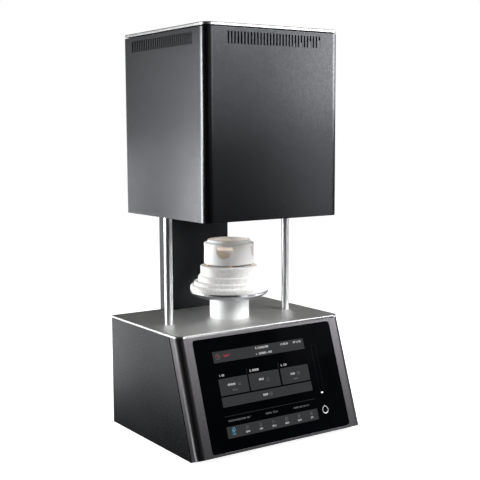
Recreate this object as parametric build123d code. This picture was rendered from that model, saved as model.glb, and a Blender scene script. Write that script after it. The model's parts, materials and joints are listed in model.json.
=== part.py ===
from build123d import *
import os
from math import cos, sin, tan, radians, pi

os.makedirs("parts", exist_ok=True)

# ---------------------------------------------------------------- driving dimensions (mm)
# Frame: X to the right seen from the front, Y to the rear, Z up.
# Origin: on the table, under the middle of the outline. The drawing's Y values are counted
# from a point 1.84 mm in front of it, and every piece moves by MID_Y when it is written.

MID_Y = 1.84

# base housing
BASE_W = 385.0            # width over the side panels
BASE_Y0 = -171.8          # lowest front edge of the sloping front
BASE_Y1 = 171.8           # rear edge
FOOT_H = 4.0              # rubber feet, standing height
SIDE_Z0 = FOOT_H          # lower edge of the side panels
PLATE_T = 5.2             # base top plate
PLATE_Z1 = 229.1          # its upper face
PLATE_Z0 = PLATE_Z1 - PLATE_T
PLATE_Y0 = -95.5          # its front edge
SLOPE = 19.125            # lean of the control front from the vertical, degrees
SLOPE_Y = -94.5           # a point of the front plane
SLOPE_Z = 226.8
FRAME_D = 28.0            # depth of the front frame, square to the front plane
FRAME_S1 = 224.7          # its lower edge, measured down the slope
FRAME_R = 15.5            # rounding of its upright edges
SEAM = 2.0                # gap between front frame and side panels
SHEET = 2.0               # side panel sheet

# control glass, measured down the slope from the point above
GLASS_X0, GLASS_X1 = -162.5, 162.5
GLASS_S0, GLASS_S1 = 8.3, 219.6
GLASS_T = 3.0
GLASS_R = 6.0
SCREEN_X, SCREEN_S = -16.2, 115.2      # middle of the lit display
SCREEN_W, SCREEN_H = 236.0, 174.0      # display module
BAR_X, BAR_S0, BAR_S1 = 111.0, 48.0, 146.0
RING_X, RING_S = 110.2, 181.0

# lift
AX_Y = 22.0               # lift axis and posts stand in this plane
TRAVEL = 162.5            # loading position to closed furnace
COL_R = 40.0
COL_WALL = 3.0
COL_Z0, COL_Z1 = 40.0, 266.6
ROD_X, ROD_R = 60.0, 6.0
SCREW_R = 6.0
FIT = 0.05                # radial running clearance
MOTOR_Y = AX_Y + 78.0
PULLEY_R = 14.0

# hearth stack on the lift column
DISH_R = 79.5
DISH_Z0, DISH_Z2 = 266.6, 284.5     # underside on the column, rim
PLUG = [(79.5, 296.0), (71.5, 303.4), (63.0, 315.3), (58.5, 334.6)]   # radius, upper face
PIN_H, PIN_R, PIN_PCR = 4.5, 2.7, 46.0
CUP_Z0 = PLUG[-1][1] + PIN_H
CUP_R, CUP_RI = 50.8, 44.5
CUP_SHOULDER, CUP_TOP = 381.3, 387.5
RIM_R, RIM_RI = 43.1, 39.5
WIN_W, WIN_Z0, WIN_Z1 = 33.0, 352.7, 376.0

# posts and rear column
POST_X, POST_R = 142.0, 8.25
COLUMN_X, COLUMN_Y0, COLUMN_Y1 = 80.5, 147.0, 166.1
REAR_R = 1.6              # rounding of the rear upright corners of column, head and base
CABLE_Y = 156.8           # cable holes inside the column

# furnace head
HEAD_Z0, HEAD_Z1 = 439.3, 789.6
HEAD_X = 153.6
HEAD_Y0, HEAD_Y1 = -137.2, 166.1
HEAD_R = 17.0
FLOOR_T = 4.0
TOP_GAP = 2.2
TOP_Z1 = 797.2
SLOT_W, SLOT_Z0, SLOT_Z1, SLOT_P = 3.2, 760.7, 782.2, 7.17
SLOT_N_FRONT, SLOT_N_SIDE = 30, 32
SLOT_SIDE_Y0 = HEAD_Y0 + 46.3
SLOT_SIDE_P = 7.22

# furnace chamber
MOUTH = [(81.0, 460.0), (73.5, 468.0), (65.0, 480.0), (60.5, 499.0)]   # bore radius, up to
CAN_R, CAN_T, CAN_Z1 = 130.0, 1.5, 642.0
CHAMBER_R, CHAMBER_Z1 = 70.0, 588.0
ELEM_PCR, ELEM_HALF, ELEM_R, TERM_R = 64.5, 11.0, 2.25, 4.5

HW = BASE_W / 2.0


# ---------------------------------------------------------------- helpers
def bx(x0, x1, y0, y1, z0, z1):
    return Pos((x0 + x1) / 2, (y0 + y1) / 2, (z0 + z1) / 2) * Box(x1 - x0, y1 - y0, z1 - z0)


def cz(x, y, z0, z1, r):
    return Pos(x, y, (z0 + z1) / 2) * Cylinder(r, z1 - z0)


def cy(x, z, y0, y1, r):
    return Pos(x, (y0 + y1) / 2, z) * Rot(90, 0, 0) * Cylinder(r, y1 - y0)


def plate(x0, x1, y0, y1, z0, z1, r_front, r_rear):
    """Flat plate with rounded upright corners."""
    s = Pos((x0 + x1) / 2, (y0 + y1) / 2) * Rectangle(x1 - x0, y1 - y0)
    if r_front > 0:
        s = fillet(s.vertices().group_by(Axis.Y)[0], r_front)
    if r_rear > 0:
        s = fillet(s.vertices().group_by(Axis.Y)[-1], r_rear)
    return extrude(Pos(0, 0, z0) * s, z1 - z0)


def ring_of(points, x=0.0, y=AX_Y):
    """Solid of revolution about the upright axis at x, y from (radius, height) points."""
    pts = [(r, 0, z) for r, z in points]
    face = make_face(Polyline(*pts, close=True))
    return Pos(x, y, 0) * revolve(face, Axis.Z)


def one(shape):
    """A single solid out of a boolean result."""
    sol = shape.solids()
    return sol[0] if len(sol) == 1 else Compound(children=list(sol))


def save(shape, name):
    sol = list((Pos(0, -MID_Y, 0) * shape).solids())
    out = sol[0] if len(sol) == 1 else Compound(children=sol)
    export_step(out, "parts/%s.step" % name)


# sloping front: local X right, local Y up the slope (so -s), local Z out of the front
FRONT = Plane(
    origin=(0, SLOPE_Y, SLOPE_Z),
    x_dir=(1, 0, 0),
    z_dir=(0, -cos(radians(SLOPE)), sin(radians(SLOPE))),
).location


def slab(x0, x1, s0, s1, n0, n1, r=0.0):
    """Plate lying in the sloping front, s measured down the slope, n outward."""
    s = Pos((x0 + x1) / 2, -(s0 + s1) / 2)
    sk = s * (RectangleRounded(x1 - x0, s1 - s0, r) if r > 0 else Rectangle(x1 - x0, s1 - s0))
    return extrude(Pos(0, 0, n0) * sk, n1 - n0)


# ================================================================ BASE HOUSING
# --- front frame: a shallow tray set square to the sloping front
fr = Pos(0, (-FRAME_S1 + 12) / 2, -FRAME_D / 2) * Box(BASE_W, FRAME_S1 + 12, FRAME_D)
edges = [e for e in fr.edges().filter_by(Axis.Y) if abs(abs(e.center().X) - HW) < 0.1 and e.center().Z > -0.1]
fr = fillet(edges, FRAME_R)
pk = Pos(0, (-(FRAME_S1 - 3.0) + 20) / 2, (-5.0 - FRAME_D - 2) / 2) * Box(BASE_W - 6, FRAME_S1 - 3.0 + 20, FRAME_D + 2 - 5.0)
edges = [e for e in pk.edges().filter_by(Axis.Y) if e.center().Z > -6]
pk = fillet(edges, 12.0)
fr = fr - pk
fr = fr - slab(GLASS_X0 - 0.3, GLASS_X1 + 0.3, GLASS_S0 - 0.3, GLASS_S1 + 0.3, -GLASS_T, 5, GLASS_R + 0.3)
fr = fr - slab(-151, 151, 20, 208, -10, 1, 3)
edges = [e for e in fr.edges() if abs(e.center().Y + FRAME_S1) < 0.05 and e.center().Z > -0.5]
front_frame = FRONT * fr
front_frame = front_frame - bx(-300, 300, -300, 300, PLATE_Z0, 400)
save(front_frame, "base_front_frame")

# --- control glass, flush in the frame
gl = slab(GLASS_X0, GLASS_X1, GLASS_S0, GLASS_S1, -GLASS_T, 0, GLASS_R)
gl = chamfer(gl.faces().sort_by(Axis.Z)[-1].edges(), 0.5)
save(FRONT * gl, "control_glass")

# --- display module, light bar, touch key board and their bracket behind the glass
dm = slab(SCREEN_X - SCREEN_W / 2, SCREEN_X + SCREEN_W / 2, SCREEN_S - SCREEN_H / 2, SCREEN_S + SCREEN_H / 2, -8.0, -GLASS_T)
dm = dm + slab(-60, 30, 60, 110, -9.0, -8.0)
save(FRONT * dm, "display_module")
lb = slab(BAR_X - 3, BAR_X + 3, BAR_S0, BAR_S1, -7.0, -GLASS_T, 2.9)
save(FRONT * lb, "status_light_bar")
tk = slab(104.5, 124.5, 42, 200, -8.6, -7.0)
tk = tk + slab(RING_X - 5.5, RING_X + 13, 170, 192, -7.0, -GLASS_T)
save(FRONT * tk, "touch_key_board")
db = slab(-157, 157, 13.5, 214.5, -11.5, -10.0) + (slab(-157, 157, 13.5, 214.5, -10.0, -5.0) - slab(-152, 152, 18.5, 209.5, -12, 0))
db = db - slab(-70, 40, 50, 120, -13, -9)
db = db - slab(60, 120, 150, 190, -13, -9)
bracket = FRONT * db - bx(-300, 300, -300, 300, PLATE_Z0, 400)
save(bracket, "display_bracket")

# --- side panels: folded sheet, front edge parallel to the sloping front
shell = plate(-HW, HW, -260, BASE_Y1, SIDE_Z0, PLATE_Z0, 0, REAR_R)
shell = shell - plate(-HW + SHEET, HW - SHEET, -270, BASE_Y1 - SHEET, SIDE_Z0 - 5, PLATE_Z0 + 5, 0, 0)
shell = shell - FRONT * (Pos(0, 0, -(FRAME_D + SEAM) + 100) * Box(800, 900, 200))
left = shell & bx(-HW - 5, -174.5, -300, 300, -10, 400)
right = shell & bx(174.5, HW + 5, -300, 300, -10, 400)
save(left, "base_side_panel_left")
save(right, "base_side_panel_right")

# --- bottom plate with air intake slots
bp = plate(-HW + SHEET, HW - SHEET, -138.0, BASE_Y1 - SHEET - 0.2, SIDE_Z0, 7.0, 0, 0.6)
for i in range(9):
    bp = bp - bx(60 + i * 11, 64 + i * 11, 85, 125, 0, 10)
    bp = bp - bx(-150 + i * 11, -146 + i * 11, 125, 150, 0, 10)
save(bp, "base_bottom_plate")

# --- feet
feet = []
FEET = [(-160, -112), (160, -112), (-160, 145), (160, 145)]
for fx, fy in FEET:
    f = Pos(fx, fy, FOOT_H / 2) * Cone(10.5, 12.0, FOOT_H)
    f = f - cz(fx, fy, -1, 2.2, 4.6) - cz(fx, fy, -1, 6, 2.1)
    feet.append(f)
save(Compound(children=[f.solids()[0] for f in feet]), "feet")

# --- rear panel, recessed 6 mm, with its cut-outs
RP0, RP1 = 163.8, 165.8
INLET = (-120.0, 46.0)
SWITCH = (-78.0, 46.0)
LAN = (-18.0, 44.0)
USB = (8.0, 44.0)
FAN = (112.0, 112.0)
rp = bx(-HW + SHEET, HW - SHEET, RP0, RP1, 7.0, PLATE_Z0)
rp = rp - bx(INLET[0] - 14, INLET[0] + 14, 160, 170, INLET[1] - 10.2, INLET[1] + 10.2)
rp = rp - bx(SWITCH[0] - 11, SWITCH[0] + 11, 160, 170, SWITCH[1] - 13.6, SWITCH[1] + 13.6)
rp = rp - bx(LAN[0] - 8.2, LAN[0] + 8.2, 160, 170, LAN[1] - 7, LAN[1] + 7)
rp = rp - bx(USB[0] - 7.8, USB[0] + 7.8, 160, 170, USB[1] - 4.4, USB[1] + 4.4)
rp = rp - cy(FAN[0], FAN[1], 160, 170, 38.0)
for i in range(12):
    rp = rp - bx(-150 + i * 9, -146.5 + i * 9, 160, 170, 130, 175)
for sx in (-1, 1):
    for sz in (-1, 1):
        rp = rp - cy(FAN[0] + sx * 35.75, FAN[1] + sz * 35.75, 160, 170, 2.2)
save(rp, "base_rear_panel")

# --- top plate: 5 mm aluminium, bright chamfered edge
tp = plate(-HW, HW, PLATE_Y0, BASE_Y1, PLATE_Z0, PLATE_Z1, FRAME_R, 2.2)
tp = chamfer(tp.faces().sort_by(Axis.Z)[-1].edges(), 1.2)
tp = chamfer(tp.faces().sort_by(Axis.Z)[0].edges(), 0.5)
tp = tp - cz(0, AX_Y, 200, 240, COL_R + 0.6)
for sx in (-1, 1):
    tp = tp - cz(sx * POST_X, AX_Y, 200, 240, 5.2)
    tp = tp - cz(sx * 50, CABLE_Y, 200, 240, 6.0)
save(tp, "base_top_plate")

# ================================================================ CHASSIS AND LIFT DRIVE
BEAM_Z0 = PLATE_Z0 - 10.0
cb = bx(-170, 170, -22, 66, BEAM_Z0, PLATE_Z0)
cb = cb - cz(0, AX_Y, 200, 240, COL_R + 2.0)
for sx in (-1, 1):
    cb = cb - cz(sx * POST_X, AX_Y, 200, 240, 5.2) - cz(sx * ROD_X, AX_Y, 200, 240, ROD_R + 0.05)
    cb = cb - bx(sx * 113 - 18, sx * 113 + 18, -5, 49, 200, 240)
save(cb, "cross_beam")

legs = []
for sx in (-1, 1):
    lg = bx(min(sx * 165, sx * 168), max(sx * 165, sx * 168), -22, 66, 7.0, BEAM_Z0)
    lg = lg + bx(min(sx * 168, sx * 182), max(sx * 168, sx * 182), -22, 66, 7.0, 10.0)
    lg = lg - (Pos(sx * 166, 22, 115) * Rot(0, 90, 0) * Cylinder(28, 20))
    legs.append(lg.solids()[0])
save(Compound(children=legs), "support_legs")

lbp = bx(-80, 80, -12, 136, 7.0, 13.0)
lbp = lbp - cz(0, AX_Y, 5, 20, 14.02)
for sx in (-1, 1):
    lbp = lbp - cz(sx * ROD_X, AX_Y, 5, 20, ROD_R + 0.05)
save(lbp, "lift_base_plate")

rods = [cz(sx * ROD_X, AX_Y, 7.0, PLATE_Z0 - 3, ROD_R).solids()[0] for sx in (-1, 1)]
save(Compound(children=rods), "guide_rods")

brg = cz(0, AX_Y, 7.2, 13.0, 14.0) - cz(0, AX_Y, 0, 20, SCREW_R + FIT)
brg = brg - (cz(0, AX_Y, 12.4, 14, 12.2) - cz(0, AX_Y, 12, 14.5, 8.2))
save(brg, "screw_bearing")

ls = cz(0, AX_Y, 8.0, 212.0, SCREW_R)
ls = chamfer(ls.edges().group_by(Axis.Z)[-1], 1.0)
save(ls, "lead_screw")


def pulley(x, y, bore):
    p = cz(x, y, 15.2, 21.8, PULLEY_R) + cz(x, y, 14.2, 15.2, PULLEY_R + 2.4) + cz(x, y, 21.8, 22.8, PULLEY_R + 2.4)
    p = p + cz(x, y, 22.8, 24.6, 9.0)
    if bore > 0:
        p = p - cz(x, y, 0, 40, bore)
    return p


save(pulley(0, AX_Y, SCREW_R + 0.02), "screw_pulley")

mb = bx(-34, 34, 68, 132, 25.0, 29.0) - cz(0, MOTOR_Y, 20, 40, 19.5)
for sx in (-1, 1):
    for yy in (71.5, 128.5):
        mb = mb + bx(sx * 29.5 - 3.5, sx * 29.5 + 3.5, yy - 3.5, yy + 3.5, 13.0, 25.0)
save(mb, "motor_bracket")

mo = plate(-28.2, 28.2, MOTOR_Y - 28.2, MOTOR_Y + 28.2, 29.0, 85.0, 5, 5)
mo = mo + cz(0, MOTOR_Y, 27.4, 29.0, 19.05) - cz(0, MOTOR_Y, 20, 62, 3.6)
mo = mo + bx(-9, 9, MOTOR_Y + 28.2, MOTOR_Y + 33, 72, 82)
save(mo, "lift_motor")

mp = pulley(0, MOTOR_Y, 0)
mp = mp + cz(0, MOTOR_Y, 14.2, 60.0, 3.17)
save(mp, "motor_shaft_pulley")

BELT_I = PULLEY_R + 0.3
BELT_T = 1.3


def stadium(r):
    mid = (AX_Y + MOTOR_Y) / 2
    return Pos(0, mid) * Rot(0, 0, 90) * SlotOverall((MOTOR_Y - AX_Y) + 2 * r, 2 * r)


belt = extrude(Pos(0, 0, 15.5) * (stadium(BELT_I + BELT_T) - stadium(BELT_I)), 6.0)
save(belt, "drive_belt")

# --- moving carriage, nut, bushings, column
car = bx(-76, 76, -22, 66, 30.0, 40.0) - cz(0, AX_Y, 20, 50, 10.03)
for sx in (-1, 1):
    car = car - cz(sx * ROD_X, AX_Y, 20, 50, 10.53)
    for yy in (-22, 66):
        car = car - (Pos(sx * 76, yy, 35) * Rot(0, 0, 45) * Box(26, 26, 20))
save(car, "lift_carriage")

nut = cz(0, AX_Y, 30.0, 50.0, 10.0) + cz(0, AX_Y, 26.0, 30.0, 16.0) - cz(0, AX_Y, 0, 60, SCREW_R + FIT)
save(nut, "lift_nut")

bush = []
for sx in (-1, 1):
    b = cz(sx * ROD_X, AX_Y, 18.5, 46.0, 10.5) + cz(sx * ROD_X, AX_Y, 40.0, 43.0, 15.0) - cz(sx * ROD_X, AX_Y, 0, 60, ROD_R + FIT)
    bush.append(b.solids()[0])
save(Compound(children=bush), "linear_bushings")

lc = cz(0, AX_Y, COL_Z0, COL_Z1, COL_R) - cz(0, AX_Y, COL_Z0 - 1, COL_Z1 - 6, COL_R - COL_WALL)
save(lc, "lift_column")

# ================================================================ HEARTH STACK
dish = ring_of([
    (0, DISH_Z0), (COL_R - 1, DISH_Z0), (COL_R + 4, DISH_Z0 + 0.4), (58, DISH_Z0 + 3.2), (66, DISH_Z0 + 5.4),
    (72, DISH_Z0 + 7.8), (76.4, DISH_Z0 + 10.5), (DISH_R - 0.6, DISH_Z0 + 13.4), (DISH_R, DISH_Z0 + 15.4), (DISH_R, DISH_Z2), (DISH_R - 1.6, DISH_Z2),
    (DISH_R - 1.6, DISH_Z0 + 15.6), (DISH_R - 2.4, DISH_Z0 + 14.2), (75.2, DISH_Z0 + 11.7), (71.2, DISH_Z0 + 9.4), (65.4, DISH_Z0 + 7.1),
    (57.6, DISH_Z0 + 4.9), (COL_R + 3.6, DISH_Z0 + 2.0), (0, DISH_Z0 + 2.0),
])
save(dish, "plug_dish")

pts = [
    (0, DISH_Z0 + 2.1), (COL_R + 3.4, DISH_Z0 + 2.1), (57.5, DISH_Z0 + 5.1), (65.2, DISH_Z0 + 7.3), (71.0, DISH_Z0 + 9.6), (75.0, DISH_Z0 + 11.9),
    (DISH_R - 2.6, DISH_Z0 + 14.4), (DISH_R - 1.8, DISH_Z0 + 15.8), (DISH_R - 1.8, DISH_Z2), (DISH_R, DISH_Z2),
]
for k, (r, z) in enumerate(PLUG):
    if k:
        pts.append((r, PLUG[k - 1][1]))
    pts.append((r, z))
pts.append((0, PLUG[-1][1]))
plug = ring_of(pts)
for r, z, f in ((79.5, 296.0, 4.5), (71.5, 303.4, 2.2), (63.0, 315.3, 2.2), (58.5, 334.6, 2.2)):
    es = [e for e in plug.edges().filter_by(GeomType.CIRCLE) if abs(e.center().Z - z) < 0.01 and abs(e.radius - r) < 0.01]
    plug = fillet(es, f)
save(plug, "insulation_plug")

pins = []
for k in range(5):
    a = radians(29.5 + 72 * k)
    px, py = -PIN_PCR * sin(a), AX_Y - PIN_PCR * cos(a)
    pins.append(cz(px, py, PLUG[-1][1], CUP_Z0, PIN_R).solids()[0])
save(Compound(children=pins), "alumina_pins")

cup = ring_of([
    (0, CUP_Z0), (CUP_R - 1.0, CUP_Z0), (CUP_R, CUP_Z0 + 1.0), (CUP_R, CUP_SHOULDER - 1.2), (CUP_R - 0.4, CUP_SHOULDER - 0.4),
    (CUP_R - 1.2, CUP_SHOULDER), (RIM_R + 2.6, CUP_SHOULDER + 0.7), (RIM_R + 1.0, CUP_SHOULDER + 1.6), (RIM_R + 0.2, CUP_SHOULDER + 3.0),
    (RIM_R, CUP_TOP - 0.8), (RIM_R - 0.8, CUP_TOP), (RIM_RI + 0.6, CUP_TOP), (RIM_RI, CUP_TOP - 0.6), (RIM_RI, 380.4),
    (CUP_RI, 376.6), (CUP_RI, CUP_Z0 + 4.6), (CUP_RI - 1.2, CUP_Z0 + 4.0), (0, CUP_Z0 + 4.0),
])
wr = WIN_W / 2
for k in range(4):
    w = Pos(0, 0, 0) * Box(WIN_W, 40, WIN_Z1 - (WIN_Z0 + wr))
    w = Pos(0, -CUP_R, (WIN_Z1 + WIN_Z0 + wr) / 2) * w
    c = Pos(0, -CUP_R, WIN_Z0 + wr) * Rot(90, 0, 0) * Cylinder(wr, 40)
    c = c & bx(-30, 30, -CUP_R - 25, -CUP_R + 25, WIN_Z0 - 5, WIN_Z1)
    cup = cup - Pos(0, AX_Y, 0) * Rot(0, 0, -45 + 90 * k) * (w + c)
save(cup, "sinter_cup")

SD0 = CUP_Z0 + 4.0
sd = ring_of([
    (0, SD0), (36.5, SD0), (38.6, SD0 + 1.6), (38.6, SD0 + 10.5), (37.9, SD0 + 11.0), (37.9, SD0 + 12.2), (38.6, SD0 + 12.7),
    (38.6, SD0 + 24.2), (37.8, SD0 + 25.0), (36.0, SD0 + 25.0), (35.2, SD0 + 24.2), (35.2, SD0 + 4.5), (33.5, SD0 + 3.0), (0, SD0 + 3.0),
])
save(sd, "sinter_dish")

# ================================================================ ELECTRICS IN THE BASE
tx, ty = -90.0, -82.0
tor = ring_of([(16, 9.0), (52, 9.0), (55, 12), (55, 58), (52, 61), (16, 61), (13, 58), (13, 12)], tx, ty)
tor = tor + cz(tx, ty, 7.0, 9.0, 50) + cz(tx, ty, 61, 64, 40) + cz(tx, ty, 9.0, 66, 8.0) + cz(tx, ty, 61, 69, 8.0)
save(tor, "toroid_transformer")

ps = bx(45, 155, -130, -46, 7.0, 47.0)
ps = fillet(ps.edges().filter_by(Axis.Z), 2.0)
for i in range(10):
    ps = ps - bx(58 + i * 8, 61 + i * 8, -118, -70, 45.5, 50)
ps = ps - bx(150, 160, -125, -100, 15, 30)
save(ps, "power_supply")

pc = bx(92, 158, 72, 130, 7.0, 15.0)
for i in range(8):
    pc = pc + bx(92 + i * 9, 95 + i * 9, 72, 130, 15.0, 52.0)
pc = pc + bx(100, 145, 28, 72, 7.0, 34.0)
save(pc, "power_controller")

mbd = bx(-158, -86, -4, 126, 20.0, 21.6)
for px, py in ((-153, 1), (-91, 1), (-153, 121), (-91, 121)):
    mbd = mbd + cz(px, py, 7.0, 20.0, 3.0)
mbd = mbd + bx(-150, -128, 10, 40, 21.6, 30) + bx(-120, -95, 12, 30, 21.6, 27) + bx(-152, -140, 60, 110, 21.6, 33)
mbd = mbd + bx(-105, -90, 60, 85, 21.6, 38) + bx(-130, -112, 95, 113, 21.6, 25)
for i in range(3):
    mbd = mbd + cz(-128 + i * 12, 52, 21.6, 40, 5.0)
save(mbd, "main_board")

# ================================================================ REAR CONNECTIONS
ix, iz = INLET
inl = plate(ix - 17, ix + 17, iz - 13.5, iz + 13.5, 0, 1.8, 3, 3)          # flange, built flat
inl = Pos(0, RP1 + 1.8, 0) * Rot(90, 0, 0) * inl
inl = inl + bx(ix - 13.7, ix + 13.7, 142.0, RP1, iz - 9.9, iz + 9.9)
sock = bx(ix - 12, ix + 12, 150.0, 175.0, iz - 8.0, iz + 8.0)
sock = chamfer([e for e in sock.edges().filter_by(Axis.Y) if e.center().Z > iz], 3.5)
inl = inl - sock
inl = inl + bx(ix - 8, ix - 6, 148, 164, iz - 1.5, iz + 2.5) + bx(ix + 6, ix + 8, 148, 164, iz - 1.5, iz + 2.5) + bx(ix - 1, ix + 1, 148, 165, iz + 2.5, iz + 6.5)
save(inl, "appliance_inlet")

qx, qz = SWITCH
sw = Pos(0, RP1 + 1.6, 0) * Rot(90, 0, 0) * plate(qx - 13.5, qx + 13.5, qz - 16, qz + 16, 0, 1.6, 2, 2)
sw = sw + bx(qx - 10.9, qx + 10.9, 146.0, RP1, qz - 13.5, qz + 13.5)
sw = sw - bx(qx - 9.9, qx + 9.9, 153.0, 175.0, qz - 12.7, qz + 12.7)
PIV_Y, PIV_R = 160.6, 1.5
sw = sw - Pos(qx, PIV_Y, qz) * Rot(0, 90, 0) * Cylinder(PIV_R + FIT, 30)
save(sw, "mains_switch_frame")

rk = make_face(Polyline((0, 7.6, 11.0), (0, 5.8, 0), (0, 7.6, -11.0), (0, 0.0, -11.0), (0, -4.0, -4.0), (0, -4.0, 4.0), (0, 0.0, 11.0), close=True))
rk = Pos(-9.5, 0, 0) * extrude(rk, amount=19.0, dir=(1, 0, 0))
rk = rk + Rot(0, 90, 0) * Cylinder(PIV_R, 21.2)      # trunnions in the frame's side walls
rk = Pos(qx, PIV_Y, qz) * Rot(-9.0, 0, 0) * rk
save(rk, "mains_rocker")

lx, lz = LAN
lan = bx(lx - 8, lx + 8, 146, RP1 + 0.6, lz - 6.8, lz + 6.8) - bx(lx - 5.9, lx + 5.9, 153, 170, lz - 4.4, lz + 4.0)
ux, uz = USB
usb = bx(ux - 7.6, ux + 7.6, 148, RP1 + 0.6, uz - 4.2, uz + 4.2) - bx(ux - 6.4, ux + 6.4, 154, 170, uz - 2.9, uz + 2.9) + bx(ux - 5.6, ux + 5.6, 153, 165, uz + 0.4, uz + 2.2)
save(Compound(children=[lan.solids()[0], usb.solids()[0]]), "data_sockets")

# --- cooling fan on the rear panel
fx, fz = FAN
ff = Pos(0, RP0, 0) * Rot(90, 0, 0) * plate(fx - 40, fx + 40, fz - 40, fz + 40, 0, 25.0, 5, 5)
ff = ff - cy(fx, fz, 130, 170, 38.0)
ff = ff + cy(fx, fz, 138.8, 140.6, 19.0)
for k in range(4):
    ff = ff + (Pos(fx, 139.7, fz) * Rot(0, 45 + 90 * k, 0) * Pos(28.5, 0, 0) * Box(22.0, 1.8, 4.0))
for sx in (-1, 1):
    for sz in (-1, 1):
        ff = ff - cy(fx + sx * 35.75, fz + sz * 35.75, 130, 170, 2.2)
save(ff, "fan_frame")

im = cy(fx, fz, 141.4, 160.0, 17.0)
im = im - cy(fx, fz, 141.0, 156.0, 14.5)
bl = Pos(25.5, 0, 0) * Rot(38, 0, 0) * Box(20.0, 1.6, 17.0)
for k in range(7):
    im = im + Pos(fx, 150.5, fz) * Rot(0, 360 / 7 * k, 0) * bl
save(im, "fan_impeller")

fg = None
for r in (12.0, 20.5, 29.0, 37.5):
    a = cy(fx, fz, RP1 + 1.2, RP1 + 2.8, r + 0.8) - cy(fx, fz, RP1, RP1 + 4, r - 0.8)
    fg = a if fg is None else fg + a
for k in range(4):
    d = Pos(fx, RP1 + 0.9, fz) * Rot(0, 45 + 90 * k, 0)
    fg = fg + d * Pos(31.5, 0, 0) * Box(41.0, 1.8, 2.0)
for sx in (-1, 1):
    for sz in (-1, 1):
        fg = fg + cy(fx + sx * 35.75, fz + sz * 35.75, RP1, RP1 + 1.6, 5.0) - cy(fx + sx * 35.75, fz + sz * 35.75, RP1 - 1, RP1 + 5, 2.2)
save(fg, "fan_guard")

# ================================================================ POSTS AND REAR COLUMN
posts = []
for sx in (-1, 1):
    p = cz(sx * POST_X, AX_Y, PLATE_Z1, HEAD_Z0, POST_R) + cz(sx * POST_X, AX_Y, 200.0, PLATE_Z1, 5.0) + cz(sx * POST_X, AX_Y, HEAD_Z0, 456.0, 5.0)
    posts.append(p.solids()[0])
save(Compound(children=posts), "posts")

nuts = []
for sx in (-1, 1):
    for z0, z1 in ((BEAM_Z0 - 8.0, BEAM_Z0), (HEAD_Z0 + FLOOR_T, HEAD_Z0 + FLOOR_T + 8.0)):
        h = extrude(Pos(sx * POST_X, AX_Y, z0) * Rot(0, 0, 30) * RegularPolygon(8.5, 6, major_radius=False), z1 - z0)
        h = h - cz(sx * POST_X, AX_Y, z0 - 1, z1 + 1, 5.03)
        nuts.append(h.solids()[0])
save(Compound(children=nuts), "post_nuts")

rc = plate(-COLUMN_X, COLUMN_X, COLUMN_Y0, COLUMN_Y1, PLATE_Z1, HEAD_Z0, REAR_R, REAR_R)
rc = rc - plate(-COLUMN_X + 1.5, COLUMN_X - 1.5, COLUMN_Y0 + 1.5, COLUMN_Y1 - 1.5, PLATE_Z1 - 1, HEAD_Z0 + 1, 0, 0)
save(rc, "rear_column")

# ================================================================ FURNACE HEAD
hf = plate(-HEAD_X + 2, HEAD_X - 2, HEAD_Y0 + 2, HEAD_Y1 - 2, HEAD_Z0, HEAD_Z0 + FLOOR_T, HEAD_R - 2, 0.7)
hf = hf - cz(0, AX_Y, 400, 460, MOUTH[0][0])
for sx in (-1, 1):
    hf = hf - cz(sx * POST_X, AX_Y, 400, 460, 5.2) - cz(sx * 57, CABLE_Y, 400, 460, 5.5)
save(hf, "head_floor_plate")

hc = plate(-HEAD_X, HEAD_X, HEAD_Y0, HEAD_Y1, HEAD_Z0, HEAD_Z1, HEAD_R, REAR_R + 0.8)
hc = hc - plate(-HEAD_X + 2, HEAD_X - 2, HEAD_Y0 + 2, HEAD_Y1 - 2, HEAD_Z0 - 1, HEAD_Z1 + 1, HEAD_R - 2, 0.4)
cut = []
for i in range(SLOT_N_FRONT):
    x = (i - (SLOT_N_FRONT - 1) / 2) * SLOT_P
    cut.append(bx(x - SLOT_W / 2, x + SLOT_W / 2, HEAD_Y0 - 5, HEAD_Y0 + 8, SLOT_Z0, SLOT_Z1))
    cut.append(bx(x - SLOT_W / 2, x + SLOT_W / 2, HEAD_Y1 - 8, HEAD_Y1 + 5, SLOT_Z0, SLOT_Z1))
for i in range(SLOT_N_SIDE):
    y = SLOT_SIDE_Y0 + i * SLOT_SIDE_P
    cut.append(bx(-HEAD_X - 5, -HEAD_X + 8, y - SLOT_W / 2, y + SLOT_W / 2, SLOT_Z0, SLOT_Z1))
    cut.append(bx(HEAD_X - 8, HEAD_X + 5, y - SLOT_W / 2, y + SLOT_W / 2, SLOT_Z0, SLOT_Z1))
hc = hc - cut
save(hc, "head_cover")

hl = plate(-HEAD_X + 2, HEAD_X - 2, HEAD_Y0 + 2, HEAD_Y1 - 2, HEAD_Z1 - 2, HEAD_Z1, HEAD_R - 2, 0.7)
save(hl, "head_lid")

ht = plate(-HEAD_X, HEAD_X, HEAD_Y0, HEAD_Y1, HEAD_Z1 + TOP_GAP, TOP_Z1, HEAD_R, 3.0)
ht = chamfer(ht.faces().sort_by(Axis.Z)[-1].edges(), 1.4)
ht = chamfer(ht.faces().sort_by(Axis.Z)[0].edges(), 0.5)
save(ht, "head_top_plate")

sp = []
hy = (HEAD_Y0 + HEAD_Y1) / 2
for px, py in ((-147, -36.5), (-147, 57), (147, -36.5), (147, 57), (-62, HEAD_Y0 + 12), (62, HEAD_Y0 + 12), (-62, HEAD_Y1 - 12), (62, HEAD_Y1 - 12)):
    sp.append(cz(px, py, HEAD_Z1, HEAD_Z1 + TOP_GAP, 4.0).solids()[0])
save(Compound(children=sp), "top_spacers")

# --- muffle
CZ0 = HEAD_Z0 + FLOOR_T
can = cz(0, AX_Y, CZ0, CAN_Z1, CAN_R) - cz(0, AX_Y, CZ0 - 1, CAN_Z1 + 1, CAN_R - CAN_T)
save(can, "muffle_can")

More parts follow.
